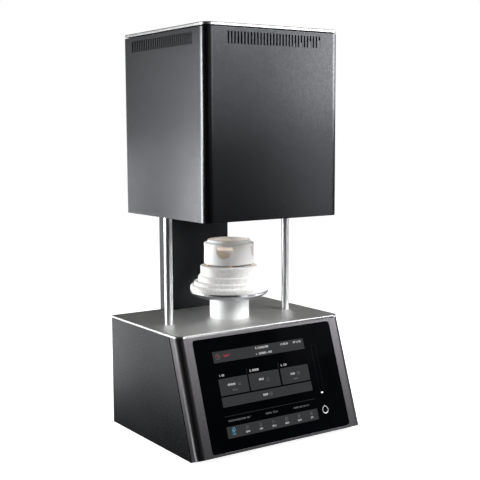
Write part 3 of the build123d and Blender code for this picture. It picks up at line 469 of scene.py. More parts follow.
M = {
    "head": coat("head_anodised", (0.0652, 0.0674, 0.0720), 1.0, 0.23, wrap_shade_box=(0.0, 0.01261, 0.1536, 0.15165, 0.017)),
    "side": coat("side_panel_coat", (0.0240, 0.0250, 0.0271), 1.0, 0.28, seam="side", peel=0.12, mottle=0.07),
    "column": coat("column_coat", (0.024, 0.0248, 0.0267), 1.0, 0.36, worn_edge_highlight=0.2, mottle=0.08),
    "frame": coat("front_frame_finish", (0.0925, 0.0890, 0.0950), 1.0, 0.30, grain=0.0009, var=0.1, worn_edge_highlight=0.3, seam="frame", mottle=0.08),
    "satin": satin_plate("satin_aluminium", (0.685, 0.688, 0.672)),
    "glass": black_glass("black_glass"),
    "posts": polished_bar("polished_steel", (0.72, 0.725, 0.735), 0.37),
    "ground": polished_bar("ground_steel", (0.6, 0.6, 0.61), 0.2, 0.2),
    "tube": spun("column_aluminium", (0.93, 0.935, 0.94), 0.74, scale=2200.0, bump=0.08),
    "dish": spun("dish_steel", (0.53, 0.535, 0.56), 0.26, scale=1300.0, bump=0.03),
    "fibre": fibre("fibre_insulation", (0.91, 0.905, 0.893)),
    "pins": fired_ceramic("alumina", (0.95, 0.74, 0.42), 0.42, speck=False),
    "cup": fired_ceramic("alumina_white", (0.88, 0.882, 0.885), 0.5, bore_tan_painted_light=(0.94, 0.895, 0.865), split=0.0456, glow_through=0.008),
    "sdish": fired_ceramic("alumina_beige", (0.91, 0.845, 0.79), 0.6, glow_through=0.007),
    "element": element_rod("element_glaze"),
    "holder": fired_ceramic("holder_ceramic", (0.8, 0.75, 0.66), 0.6),
    "zinc": zinc("zinc_plated"),
    "screw": coat("black_screw", (0.07, 0.07, 0.074), 1.0, 0.36, grain=0.0004),
    "machined": brushed("machined_aluminium", (0.66, 0.67, 0.68), 0.3, "X", fine=1800.0),
    "bronze": spun("bronze", (0.62, 0.42, 0.17), 0.25, scale=900.0),
    "bearing": spun("bearing_steel", (0.62, 0.62, 0.63), 0.18, scale=1400.0),
    "belt": moulded("belt_rubber", (0.02, 0.02, 0.021), 0.75),
    "foot": moulded("foot_rubber", (0.022, 0.022, 0.023), 0.8, gloss=0.3),
    "motor": coat("motor_body", (0.05, 0.05, 0.053), 0.6, 0.45),
    "plastic": moulded("black_plastic", (0.024, 0.024, 0.026), 0.5),
    "rocker": moulded("rocker_plastic", (0.018, 0.018, 0.019), 0.26, grain=0.0014, bump=0.12),
    "socket": zinc("socket_shell", (0.62, 0.62, 0.62)),
    "guide": moulded("light_guide", (0.2, 0.2, 0.21), 0.25, bump=0.1),
    "board": board("circuit_board"),
    "psu": brushed("psu_case", (0.58, 0.58, 0.59), 0.34, "Y", fine=1500.0),
    "winding": winding("winding"),
}

FINISH = {
    "head_anodised": "head", "side_panel_coat": "side", "column_coat": "column", "front_frame_finish": "frame",
    "satin_aluminium": "satin", "black_glass": "glass", "polished_steel": "posts", "ground_steel": "ground",
    "column_aluminium": "tube", "dish_steel": "dish", "fibre_insulation": "fibre", "alumina": "pins",
    "alumina_white": "cup", "alumina_beige": "sdish", "element_glaze": "element", "holder_ceramic": "holder",
    "zinc_plated": "zinc", "black_screw": "screw", "machined_aluminium": "machined", "bronze": "bronze",
    "bearing_steel": "bearing", "belt_rubber": "belt", "foot_rubber": "foot", "motor_body": "motor",
    "black_plastic": "plastic", "rocker_plastic": "rocker", "socket_shell": "socket", "light_guide": "guide",
    "circuit_board": "board", "psu_case": "psu", "winding": "winding",
}

# every CAD node takes the finish that the record gives it
node_slot = {}
for row in frame["record"].get("materials", []):
    for n in row.get("nodes", []):
        node_slot[n] = row["slot"]
for n, o in NODES.items():
    slot = node_slot.get(n)
    for ms in o.material_slots:
        key = slot or (ms.material.name.split(".")[0] if ms.material else None)
        if key in FINISH:
            ms.material = M[FINISH[key]]


# ------------------------------------------------------------------ mesh helpers
def new_object(name, mesh, mat, body, smooth=None):
    mesh.materials.clear()
    mesh.materials.append(mat)
    if smooth is not None:
        for p in mesh.polygons:
            p.use_smooth = True
        mesh.set_sharp_from_angle(angle=math.radians(smooth))
    o = bpy.data.objects.new(name, mesh)
    scene.collection.objects.link(o)
    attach(o, body)
    return o


def mesh_of(name, bm):
    bmesh.ops.recalc_face_normals(bm, faces=bm.faces)
    me = bpy.data.meshes.new(name)
    bm.to_mesh(me)
    bm.free()
    return me


FRONT = Matrix((
    (1, 0, 0, 0),
    (0, math.sin(SLOPE), -math.cos(SLOPE), FRONT_Y * MM),
    (0, math.cos(SLOPE), math.sin(SLOPE), FRONT_Z * MM),
    (0, 0, 0, 1),
))


def arc(cx, cy, r, a0, a1, n):
    return [(cx + r * math.cos(a0 + (a1 - a0) * i / n), cy + r * math.sin(a0 + (a1 - a0) * i / n)) for i in range(n + 1)]


def rounded(x0, x1, s0, s1, r, n=5):
    """Outline of a rounded rectangle, x right and s down the slope."""
    h = math.pi / 2
    pts = arc(x1 - r, -(s0 + r), r, h, 0, n) + arc(x1 - r, -(s1 - r), r, 0, -h, n)
    pts += arc(x0 + r, -(s1 - r), r, -h, -2 * h, n) + arc(x0 + r, -(s0 + r), r, 2 * h, h, n)
    return pts


def prism(bm, pts, n0, n1):
    """Closed flat prism from an outline in millimetres, lying on the front."""
    lo = [bm.verts.new((x * MM, y * MM, n0 * MM)) for x, y in pts]
    hi = [bm.verts.new((x * MM, y * MM, n1 * MM)) for x, y in pts]
    k = len(pts)
    bm.faces.new(hi)
    bm.faces.new(lo[::-1])
    for i in range(k):
        bm.faces.new((lo[i], lo[(i + 1) % k], hi[(i + 1) % k], hi[i]))


def ribbon(bm, pts, width, n0, n1, closed=False):
    """Flat stroke along a line of points, mitred at its corners."""
    k = len(pts)
    left, right = [], []
    for i in range(k):
        p = Vector(pts[i])
        a = Vector(pts[(i - 1) % k]) if (closed or i > 0) else None
        b = Vector(pts[(i + 1) % k]) if (closed or i < k - 1) else None
        d1 = (p - a).normalized() if a is not None else (b - p).normalized()
        d2 = (b - p).normalized() if b is not None else d1
        t = d1 + d2
        t = t.normalized() if t.length > 1e-6 else d1
        nrm = Vector((-t.y, t.x))
        c = max(0.5, nrm.dot(Vector((-d1.y, d1.x))))
        left.append(p + nrm * width / 2 / c)
        right.append(p - nrm * width / 2 / c)
    rows = [[bm.verts.new((q.x * MM, q.y * MM, z * MM)) for q in side] for side in (left, right) for z in (n0, n1)]
    l0, l1, r0, r1 = rows
    m = k if closed else k - 1
    for i in range(m):
        j = (i + 1) % k
        bm.faces.new((l1[i], l1[j], r1[j], r1[i]))
        bm.faces.new((l0[i], r0[i], r0[j], l0[j]))
        bm.faces.new((l0[i], l0[j], l1[j], l1[i]))
        bm.faces.new((r0[i], r1[i], r1[j], r0[j]))
    if not closed:
        bm.faces.new((l0[0], l1[0], r1[0], r0[0]))
        bm.faces.new((l0[-1], r0[-1], r1[-1], l1[-1]))


def put_text(bm, body, x, s, size, n0, n1, align="CENTER", lean=0.0):
    """Figures in the built-in face, size is the digit height in millimetres."""
    cu = bpy.data.curves.new("figures", "FONT")
    cu.body = body
    cu.size = size / 0.73
    cu.align_x = align
    cu.align_y = "CENTER"
    cu.extrude = 0.5
    cu.resolution_u = 3
    o = bpy.data.objects.new("figures", cu)
    scene.collection.objects.link(o)
    bpy.context.view_layer.update()
    me = bpy.data.meshes.new_from_object(o.evaluated_get(bpy.context.evaluated_depsgraph_get()))
    start = len(bm.verts)
    bm.from_mesh(me)
    bm.verts.ensure_lookup_table()
    for v in bm.verts[start:]:
        z = n1 if v.co.z > 0 else n0
        v.co = Vector(((v.co.x + x) * MM, (v.co.y - s) * MM, z * MM))
    bpy.data.objects.remove(o)
    bpy.data.meshes.remove(me)
    bpy.data.curves.remove(cu)


def on_front(name, bm, mat):
    bmesh.ops.remove_doubles(bm, verts=bm.verts, dist=1e-7)
    me = mesh_of(name, bm)
    me.transform(FRONT)
    return new_object(name, me, mat, "housing")


# ------------------------------------------------------------------ display content: plain figures and signs
L0, L1, L2, L3 = 0.01, 0.05, 0.09, 0.13      # layer heights over the glass, mm
SX0, SX1 = -124.5, 90.0

bm = bmesh.new()
prism(bm, rounded(SX0 - 0.6, SX1 + 0.6, 34.0, 196.9, 0.8, 2), L0, L1)
on_front("display_field", bm, glow("display_field", (0.0008, 0.0009, 0.0012), 0.0006, (0.7, 0.8, 1.0), gloss=0.006, rough=0.09))

bm = bmesh.new()
prism(bm, rounded(SX0, SX1 - 0.3, 34.6, 55.8, 0.5, 2), L1, L2)
for x0, x1 in ((-121.8, -57.2), (-54.0, 16.6), (20.8, 88.6)):
    prism(bm, rounded(x0, x1, 86.2, 117.7, 0.6, 2), L1, L2)
prism(bm, rounded(-121.9, 88.8, 120.6, 139.0, 0.6, 2), L1, L2)
prism(bm, rounded(-123.2, 90.0, 175.0, 196.2, 0.5, 2), L1, L2)
on_front("display_tiles", bm, glow("display_tiles", (0.012, 0.012, 0.013), 0.028, (0.96, 0.98, 1.0), gloss=0.006, rough=0.1))

# thin dividers, one tone above and one below the tiles
bm = bmesh.new()
for x, s0, s1 in ((-80.4, 37.0, 53.6), (-34.8, 37.0, 53.6), (27.3, 37.0, 53.6), (60.4, 37.0, 53.6)):
    ribbon(bm, [(x, -s0), (x, -s1)], 0.5, L2, L3)
for i in range(6):
    x = -92.4 + 30.45 * i
    ribbon(bm, [(x, -177.0), (x, -194.2)], 0.5, L2, L3)
for x in (-55.6, 18.7):
    ribbon(bm, [(x, -74.5), (x, -84.5)], 0.6, L1, L2)
ribbon(bm, [(-34.8, -45.6), (88.6, -45.6)], 0.4, L2, L3)
ribbon(bm, [(-123.2, -155.9), (89.8, -155.9)], 0.6, L1, L2)
on_front("display_dividers", bm, glow("display_dividers", (0.008, 0.008, 0.008), 0.034, (0.95, 0.98, 1.0), grid=False))

# bright figures
bm = bmesh.new()
put_text(bm, "0 123456789", -11.4, 39.9, 4.3, L2, L3)
put_text(bm, "1 : 250000 - 042", -8.8, 50.9, 4.2, L2, L3)
put_text(bm, "11:03:24", 42.0, 40.2, 4.1, L2, L3)
put_text(bm, "07.11.26", 73.7, 40.1, 4.1, L2, L3)
put_text(bm, "1. 00", -113.0, 80.2, 4.0, L1, L2)
put_text(bm, "2. 04500", -39.2, 80.3, 4.5, L1, L2)
put_text(bm, "4. 120", 31.2, 80.4, 4.2, L1, L2)
put_text(bm, "004500", -95.0, 99.3, 4.2, L2, L3)
put_text(bm, "0800", -26.4, 99.7, 4.2, L2, L3)
put_text(bm, "1530", 48.2, 100.3, 4.2, L2, L3)
put_text(bm, "0000", -23.4, 129.8, 4.2, L2, L3)
for i, t in enumerate(("01", "0249", "035", "0412", "0563", "0674", "071")):
    if i:
        put_text(bm, t, -108.6 + 30.5 * i, 190.3, 3.4, L2, L3)
on_front("display_figures", bm, glow("display_figures", (0.05, 0.05, 0.05), 0.78, (1, 1, 1), grid=False))

# dim figures and signs
bm = bmesh.new()
put_text(bm, "0450.0", -89.0, 110.0, 3.0, L2, L3)
put_text(bm, "1530.0", 53.5, 110.3, 3.0, L2, L3)
put_text(bm, "1020304050607080: 900 °", -91.0, 165.0, 3.6, L1, L2)
put_text(bm, "120000:  00.24", -18.2, 165.1, 3.6, L1, L2)
put_text(bm, "1708001200: 08:10:17", 53.3, 165.6, 3.3, L1, L2)


def circle(cx, s, r, n=28):
    return [(cx + r * math.cos(2 * math.pi * i / n), -s + r * math.sin(2 * math.pi * i / n)) for i in range(n)]


W = 0.42
# cup on its plate
x, s = -77.6, 99.3
ribbon(bm, [(x - 2.4, -s + 2.6), (x - 1.8, -s - 1.6), (x + 1.8, -s - 1.6), (x + 2.4, -s + 2.6)], W, L2, L3)
ribbon(bm, [(x - 3.2, -s - 3.0), (x + 3.2, -s - 3.0)], W, L2, L3)
# arrow up out of a tray
x, s = -11.6, 100.8
ribbon(bm, [(x - 3.2, -s - 2.8), (x, -s + 2.8), (x + 3.2, -s - 2.8)], W, L2, L3)
ribbon(bm, [(x - 3.6, -s - 4.0), (x + 3.6, -s - 4.0)], W, L2, L3)
# start and stop signs in a ring
for x, s in ((62.6, 100.1), (-10.3, 129.7)):
    ribbon(bm, circle(x, s, 3.3), W, L2, L3, True)
ribbon(bm, [(61.7, -98.4), (64.2, -100.1), (61.7, -101.8)], W, L2, L3, True)
ribbon(bm, [(-11.4, -128.6), (-9.2, -128.6), (-9.2, -130.8), (-11.4, -130.8)], W, L2, L3, True)
# navigation signs: dial, folder, curve, list, sliders, disc
c = [(-108.6 + 30.5 * i) for i in range(7)]
s = 182.2
ribbon(bm, circle(c[1], s, 3.0), W, L2, L3, True)
ribbon(bm, [(c[1], -s + 1.9), (c[1], -s), (c[1] + 1.5, -s - 0.8)], W, L2, L3)
ribbon(bm, [(c[2] - 1.4, -s + 3.2), (c[2] - 1.4, -s - 1.4), (c[2] - 2.6, -s - 3.2), (c[2] + 2.6, -s - 3.2), (c[2] + 1.4, -s - 1.4), (c[2] + 1.4, -s + 3.2)], W, L2, L3, True)
ribbon(bm, [(c[3] - 3.2, -s - 3.0), (c[3] - 1.2, -s + 2.6), (c[3] + 0.6, -s + 0.2), (c[3] + 3.2, -s - 2.2)], W, L2, L3)
ribbon(bm, [(c[4] - 2.6, -s + 3.0), (c[4] + 2.6, -s + 3.0), (c[4] + 2.6, -s - 3.0), (c[4] - 2.6, -s - 3.0)], W, L2, L3, True)
for k in (-1.2, 0.2, 1.6):
    ribbon(bm, [(c[4] - 1.5, -s + k), (c[4] + 1.5, -s + k)], W * 0.8, L2, L3)
for k in (-2.0, 0.0, 2.0):
    ribbon(bm, [(c[5] - 3.0, -s + k), (c[5] + 3.0, -s + k)], W * 0.8, L2, L3)
    ribbon(bm, circle(c[5] + k * 0.7, s - k, 0.75, 12), W * 0.8, L2, L3, True)
ribbon(bm, circle(c[6], s, 3.0), W, L2, L3, True)
ribbon(bm, circle(c[6], s, 1.0, 14), W, L2, L3, True)
on_front("display_signs", bm, glow("display_signs", (0.03, 0.03, 0.03), 0.16, (0.95, 0.98, 1.0), grid=False))

# ring round the clock at the left of the header
bm = bmesh.new()
ribbon(bm, circle(-113.4, 44.5, 5.0), 0.5, L2, L3, True)
on_front("display_clock_ring", bm, glow("display_clock_ring", (0.02, 0.02, 0.02), 0.13, (1, 1, 1), grid=False))

# warm red reading and hands
bm = bmesh.new()
put_text(bm, "3600 °", -93.4, 44.8, 4.3, L2, L3)
ribbon(bm, [(-115.2, -41.4), (-113.6, -44.2), (-111.8, -46.6)], 1.0, L2, L3)
on_front("display_reading", bm, glow("display_reading", (0.12, 0.01, 0.03), 0.62, (0.85, 0.045, 0.12), grid=False))

# light blue page sign, first cell of the bar
bm = bmesh.new()
x = c[0]
ribbon(bm, [(x - 2.8, -s + 2.2), (x - 2.8, -s - 3.6), (x + 1.6, -s - 3.6), (x + 1.6, -s - 0.4)], 0.75, L2, L3)
ribbon(bm, [(x - 1.0, -s + 3.8), (x + 3.0, -s + 3.8), (x + 3.0, -s - 1.4), (x - 1.0, -s - 1.4)], 0.75, L2, L3, True)
put_text(bm, "018", x - 0.2, 190.1, 3.4, L2, L3)
on_front("display_active", bm, glow("display_active", (0.02, 0.08, 0.12), 0.62, (0.16, 0.52, 0.78), grid=False))

# light slot: a faint printed outline, its lit end and the ring key
bm = bmesh.new()
ribbon(bm, rounded(105.6, 117.0, 49.6, 144.0, 5.4, 8), 0.7, L0, L1, True)
on_front("slot_outline", bm, glow("slot_outline", (0.004, 0.004, 0.005), 0.0042, (0.9, 0.95, 1.0), grid=False))

bm = bmesh.new()
prism(bm, rounded(108.3, 113.0, 145.3, 147.8, 1.2, 6), L0, L1)
on_front("slot_light", bm, glow("slot_light", (0.3, 0.3, 0.3), 1.6, (1, 1, 1), grid=False))

bm = bmesh.new()
pts = []
for i in range(56):
    a = 2 * math.pi * i / 56
    r = 6.8 + 1.7 * math.exp(-((a - math.pi / 2) / 0.19) ** 2)
    pts.append((110.1 + r * 0.98 * math.cos(a), -181.0 + r * 1.02 * math.sin(a)))
ribbon(bm, pts, 0.85, L0, L1, True)
pts = [(110.1 + 5.9 * math.cos(a), -181.0 + 6.0 * math.sin(a)) for a in (math.radians(225 + 90 * i / 12) for i in range(13))]
ribbon(bm, pts, 1.3, L0, L1)
on_front("ring_key", bm, glow("ring_key", (0.3, 0.3, 0.3), 0.66, (1, 1, 1), grid=False))


# ------------------------------------------------------------------ hearth plug: formed fibre with worn steps
def fillet_profile(points, step):
    """Profile from (radius, height, rounding) corners, sampled about every step."""
    out = []
    for i, (r, z, f) in enumerate(points):
        p = Vector((r, z))
        if f <= 0 or i in (0, len(points) - 1):
            out.append(p)
            continue
        a, b = Vector(points[i - 1][:2]), Vector(points[i + 1][:2])
        u, v = (a - p).normalized(), (b - p).normalized()
        half = math.acos(max(-1, min(1, u.dot(v)))) / 2
        t = f / math.tan(half)
        centre = p + (u + v).normalized() * (f / math.sin(half))
        p0, p1 = p + u * t, p + v * t
        a0 = math.atan2(p0.y - centre.y, p0.x - centre.x)
        a1 = math.atan2(p1.y - centre.y, p1.x - centre.x)
        d = (a1 - a0 + math.pi) % (2 * math.pi) - math.pi
        n = max(3, int(abs(d) * f / step * 1.6))
        out += [Vector((centre.x + f * math.cos(a0 + d * k / n), centre.y + f * math.sin(a0 + d * k / n))) for k in range(n + 1)]
    fine = [out[0]]
    for q in out[1:]:
        w = (q - fine[-1]).length
        n = max(1, int(w / step + 0.5))
        p = fine[-1]
        fine += [p + (q - p) * (k + 1) / n for k in range(n)]
    return fine


def lathe(profile, segs, cx, cy, push=None):
    """Closed mesh of revolution in millimetres from an axis-to-axis profile."""
    bm = bmesh.new()
    rows = []
    for k, p in enumerate(profile):
        if p.x < 1e-6:
            rows.append([bm.verts.new((cx * MM, cy * MM, p.y * MM))])
            continue
        a = profile[max(0, k - 1)]
        b = profile[min(len(profile) - 1, k + 1)]
        t = (b - a).normalized()
        nr, nz = t.y, -t.x
        ring = []
        for i in range(segs):
            th = 2 * math.pi * i / segs
            d = push(p.x, p.y, th, nr, nz) if push else 0.0
            r, z = p.x + nr * d, p.y + nz * d
            ring.append(bm.verts.new(((cx + r * math.cos(th)) * MM, (cy + r * math.sin(th)) * MM, z * MM)))
        rows.append(ring)
    for a, b in zip(rows, rows[1:]):
        if len(a) == 1:
            for i in range(len(b)):
                bm.faces.new((a[0], b[i], b[(i + 1) % len(b)]))
        elif len(b) == 1:
            for i in range(len(a)):
                bm.faces.new((a[i], b[0], a[(i + 1) % len(a)]))
        else:
            for i in range(len(a)):
                j = (i + 1) % len(a)
                bm.faces.new((a[i], b[i], b[j], a[j]))
    return bm


STEPS = [
    (0.0, 268.8, 0), (43.2, 268.8, 0), (57.3, 271.8, 0), (65.0, 274.0, 0), (70.9, 276.3, 0), (74.9, 278.6, 0), (76.7, 281.1, 0), (77.5, 282.5, 0),
    (77.5, 284.55, 0), (79.4, 284.55, 1.2), (79.4, 296.0, 4.6), (71.4, 296.0, 0.5),
    (71.4, 303.4, 2.4), (63.0, 303.4, 0.5), (63.0, 315.3, 2.4), (58.5, 315.3, 0.5), (58.5, 334.6, 2.4), (0.0, 334.6, 0),
]
PIN_XY = []
for k in range(5):
    a = math.radians(29.5 + 72 * k)
    PIN_XY.append((-46.0 * math.sin(a), -46.0 * math.cos(a)))


def plug_push(r, z, th, nr, nz):
    if z < 284.7:
        return 0.0
    x, y = r * math.cos(th), r * math.sin(th)
    p = Vector((x, y, z))
    a = noise.noise(p * 0.055) * 0.22 + noise.noise(p * 0.21) * 0.13 + noise.noise(p * 0.8) * 0.10
    pit = max(0.0, noise.noise(p * 0.37 + Vector((31, 7, 3))) - 0.34) * 1.1
    chip = 0.0
    for rr, zz in ((79.4, 296.0), (71.4, 303.4), (63.0, 315.3), (58.5, 334.6)):
        d = math.hypot(r - rr, z - zz)
        if d < 5.0:
            c = max(0.0, noise.noise(Vector((x * 0.06, y * 0.06, zz))) - 0.18) + max(0.0, noise.noise(Vector((x * 0.3, y * 0.3, zz))) - 0.36) * 1.3
            chip += c * 1.3 * (1 - d / 5.0)
    if nz > 0.9 and z > 334.0:
        return -min(0.12, abs(a) * 0.3)      # the top carries the pins, nearly flat
    return -(0.22 + a * 0.7 + pit + chip) * (0.6 if nz > 0.9 else 1.0)


bm = lathe(fillet_profile(STEPS, 1.1), 300, 0.0, AX[1] / MM, plug_push)
plug = new_object("hearth_plug", mesh_of("hearth_plug", bm), M["fibre"], "lift", smooth=50)
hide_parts("insulation_plug")


# spun dish under the plug, one smooth sweep from the column to its rolled rim
DISH = [
    (0.0, 266.6, 0), (42.0, 266.6, 40.0), (47.0, 267.0, 25.0), (58.0, 269.8, 60.0), (66.0, 272.0, 48.0), (72.0, 274.4, 24.0),
    (76.4, 277.1, 6.4), (78.9, 280.0, 4.4), (79.5, 282.0, 5.0), (79.5, 284.5, 0.55), (77.9, 284.5, 0.4), (77.9, 282.2, 1.0),
    (77.1, 280.8, 2.0), (75.2, 278.3, 4.0), (71.2, 276.0, 10.0), (65.4, 273.7, 20.0), (57.6, 271.5, 30.0), (46.6, 268.6, 10.0), (0.0, 268.6, 0),
]
bm = lathe(fillet_profile(DISH, 0.9), 360, 0.0, AX[1] / MM)
dish = new_object("hearth_dish", mesh_of("hearth_dish", bm), M["dish"], "lift", smooth=60)
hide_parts("plug_dish")


# ------------------------------------------------------------------ rear: wire fan guard
def tube_mesh(bm, pts, r, closed=False, sides=10):
    """Round wire along points in millimetres."""
    k = len(pts)
    P = [Vector(p) for p in pts]
    rings = []
    for i in range(k):
        a = P[(i - 1) % k] if (closed or i) else P[i]
        b = P[(i + 1) % k] if (closed or i < k - 1) else P[i]
        t = (b - a).normalized()
        ref = Vector((0, 1, 0)) if abs(t.y) < 0.9 else Vector((1, 0, 0))
        u = t.cross(ref).normalized()
        v = t.cross(u).normalized()
        rings.append([bm.verts.new((P[i] + u * r * math.cos(2 * math.pi * j / sides) + v * r * math.sin(2 * math.pi * j / sides)) * MM) for j in range(sides)])
    for i in range(k if closed else k - 1):
        a, b = rings[i], rings[(i + 1) % k]
        for j in range(sides):
            bm.faces.new((a[j], a[(j + 1) % sides], b[(j + 1) % sides], b[j]))
    if not closed:
        bm.faces.new(rings[0][::-1])
        bm.faces.new(rings[-1])


MIDY = 1.84
gx, gz, gy = 112.0, 112.0, 165.8 - MIDY
bm = bmesh.new()
for r in (10.5, 17.3, 24.1, 30.9, 37.7):
    tube_mesh(bm, [(gx + r * math.cos(2 * math.pi * i / 72), gy + 1.9, gz + r * math.sin(2 * math.pi * i / 72)) for i in range(72)], 0.8, True)
for k in range(4):
    a = math.radians(45 + 90 * k)
    d = Vector((math.cos(a), 0, math.sin(a)))
    pts = [Vector((gx, gy + 0.75, gz)) + d * q for q in (9.0, 18.0, 27.0, 38.0)]
    pts += [Vector((gx, gy + 0.75, gz)) + d * q for q in (43.0, 45.8)]
    tube_mesh(bm, [tuple(p) for p in pts], 0.72)
    hole = Vector((gx, gy + 0.75, gz)) + d * 50.55
    n = Vector((-d.z, 0, d.x))
    tube_mesh(bm, [tuple(hole + (d * math.cos(t) + n * math.sin(t)) * 4.6) for t in (2 * math.pi * i / 28 for i in range(28))], 0.72, True)
guard = new_object("fan_guard_wire", mesh_of("fan_guard_wire", bm), M["zinc"], "housing", smooth=40)
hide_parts("fan_guard")

# contact blades of the inlet, contacts of the sockets
bm = bmesh.new()


def blade(bm, x0, x1, y0, y1, z0, z1, c=0.35):
    """Small metal blade with a tapered end towards the opening."""
    v = [bm.verts.new((x * MM, y * MM, z * MM)) for y, k in ((y0, 0.0), (y1 - 1.2, 0.0), (y1, c)) for x, z in ((x0 + k, z0 + k), (x1 - k, z0 + k), (x1 - k, z1 - k), (x0 + k, z1 - k))]
    for i in range(2):
        for j in range(4):
            a, b = i * 4 + j, i * 4 + (j + 1) % 4
            bm.faces.new((v[a], v[b], v[b + 4], v[a + 4]))
    bm.faces.new(v[0:4][::-1])
    bm.faces.new(v[8:12])


ix, iz = -120.0, 46.0
g = 0.12
blade(bm, ix - 8 - g, ix - 6 + g, 150.05 - MIDY, 164.3 - MIDY, iz - 1.5 - g, iz + 2.5 + g)
blade(bm, ix + 6 - g, ix + 8 + g, 150.05 - MIDY, 164.3 - MIDY, iz - 1.5 - g, iz + 2.5 + g)
blade(bm, ix - 1 - g, ix + 1 + g, 150.05 - MIDY, 165.3 - MIDY, iz + 2.5 - g, iz + 6.5 + g)
new_object("inlet_blades", mesh_of("inlet_blades", bm), M["socket"], "housing")

gold = brushed("contact_gold", (0.78, 0.56, 0.2), 0.22, "Y", fine=2600.0)
bm = bmesh.new()
for i in range(8):
    x = -18.0 + (i - 3.5) * 1.02
    tube_mesh(bm, [(x, 153.2 - MIDY, 47.2), (x, 156.0 - MIDY, 46.4), (x, 160.5 - MIDY, 43.9), (x, 163.0 - MIDY, 43.6)], 0.2, sides=6)
for i in range(4):
    x = 8.0 + (i - 1.5) * 2.3
    blade(bm, x - 0.5, x + 0.5, 154.3 - MIDY, 164.4 - MIDY, 44.05, 44.38, 0.1)
new_object("socket_contacts", mesh_of("socket_contacts", bm), gold, "housing")

# on and off signs on the rocker: a bar and a ring
bm = bmesh.new()
qx, qz, py = -78.0, 46.0, 160.6 - MIDY
face = Matrix.Translation((qx * MM, py * MM, qz * MM)) @ Matrix.Rotation(math.radians(-9.0), 4, "X")


def on_rocker(bm, pts, y, t):
    lo = [bm.verts.new(face @ Vector((px * MM, (y(pz)) * MM, pz * MM))) for px, pz in pts]
    hi = [bm.verts.new(face @ Vector((px * MM, (y(pz) + t) * MM, pz * MM))) for px, pz in pts]
    k = len(pts)
    bm.faces.new(hi)
    bm.faces.new(lo[::-1])
    for i in range(k):
        bm.faces.new((lo[i], lo[(i + 1) % k], hi[(i + 1) % k], hi[i]))


def rocker_face(z):
    return 5.8 + 1.8 * abs(z) / 11.0 + 0.01


on_rocker(bm, [(-0.35, 4.0), (0.35, 4.0), (0.35, 8.0), (-0.35, 8.0)], rocker_face, 0.06)
n = 24
for i in range(n):
    a0, a1 = 2 * math.pi * i / n, 2 * math.pi * (i + 1) / n
    q = [(r * math.cos(a), -6.0 + r * math.sin(a)) for r, a in ((2.1, a0), (2.1, a1), (1.5, a1), (1.5, a0))]
    on_rocker(bm, q, rocker_face, 0.06)
white = moulded("white_marking", (0.75, 0.75, 0.74), 0.5, bump=0.1)
new_object("rocker_signs", mesh_of("rocker_signs", bm), white, "rocker")


# ------------------------------------------------------------------ floor, world and lights
def make_floor():
    bm = bmesh.new()
    bmesh.ops.create_grid(bm, x_segments=24, y_segments=24, size=6.0)
    o = bpy.data.objects.new("floor", mesh_of("floor", bm))
    m = Mat("floor")
    g = m.noise(60.0, 4.0, 0.6)
    m.set(Base_Color=m.mix(m.span(g, 0.3, 0.7), (0.86, 0.86, 0.86), (0.9, 0.9, 0.9)), Roughness=m.span(g, 0.3, 0.7, 0.7, 0.85), Specular_IOR_Level=0.1)
    # the floor glows white, dimmer close to the object as a painted contact shadow
    floor_glow_painted_shade = m.span(m.radius(0.0, 0.0), 0.5, 1.6, 0.93, 1.0, True)
    m.set(Emission_Color=(1, 1, 1), Emission_Strength=floor_glow_painted_shade)
    o.data.materials.append(m.m)
    scene.collection.objects.link(o)
    o.visible_glossy = False
    o.visible_diffuse = False
    return o


make_floor()

world = bpy.data.worlds.new("studio")
scene.world = world
world.use_nodes = True
wt = world.node_tree
wt.nodes.clear()
w_out = wt.nodes.new("ShaderNodeOutputWorld")
w_mix = wt.nodes.new("ShaderNodeMixShader")
w_see = wt.nodes.new("ShaderNodeBackground")
w_lit = wt.nodes.new("ShaderNodeBackground")
w_path = wt.nodes.new("ShaderNodeLightPath")
w_tc = wt.nodes.new("ShaderNodeTexCoord")
w_sep = wt.nodes.new("ShaderNodeSeparateXYZ")
w_ramp = wt.nodes.new("ShaderNodeValToRGB")
w_see.inputs["Color"].default_value = (1, 1, 1, 1)
w_see.inputs["Strength"].default_value = 1.0
w_lit.inputs["Strength"].default_value = 1.0
wt.links.new(w_tc.outputs["Generated"], w_sep.inputs[0])
wt.links.new(w_sep.outputs[2], w_ramp.inputs[0])
el = w_ramp.color_ramp.elements
el[0].position, el[0].color = 0.0, (0.012, 0.012, 0.013, 1)
el[1].position, el[1].color = 1.0, (0.03, 0.03, 0.031, 1)
e = el.new(0.12)
e.color = (0.02, 0.02, 0.021, 1)
wt.links.new(w_ramp.outputs[0], w_lit.inputs["Color"])
# low pale bounce card that lights the right and rear faces
w_dot = wt.nodes.new("ShaderNodeVectorMath")
w_dot.operation = "DOT_PRODUCT"
w_dot.inputs[1].default_value = (0.883, 0.469, 0.0)
w_side = wt.nodes.new("ShaderNodeMapRange")
w_low = wt.nodes.new("ShaderNodeMapRange")
for node, a, b, top in ((w_side, 0.45, 0.8, 1.0), (w_low, -0.06, -0.2, 60.0)):
    node.interpolation_type = "SMOOTHSTEP"
    node.inputs["From Min"].default_value = a
    node.inputs["From Max"].default_value = b
    node.inputs["To Max"].default_value = top
w_card = wt.nodes.new("ShaderNodeMath")
w_card.operation = "MULTIPLY_ADD"
w_card.inputs[2].default_value = 1.0
wt.links.new(w_tc.outputs["Generated"], w_dot.inputs[0])
wt.links.new(w_dot.outputs["Value"], w_side.inputs["Value"])
wt.links.new(w_sep.outputs[2], w_low.inputs["Value"])
wt.links.new(w_side.outputs[0], w_card.inputs[0])
wt.links.new(w_low.outputs[0], w_card.inputs[1])
wt.links.new(w_card.outputs[0], w_lit.inputs["Strength"])
wt.links.new(w_path.outputs["Is Camera Ray"], w_mix.inputs[0])
wt.links.new(w_lit.outputs[0], w_mix.inputs[1])
wt.links.new(w_see.outputs[0], w_mix.inputs[2])
wt.links.new(w_mix.outputs[0], w_out.inputs["Surface"])


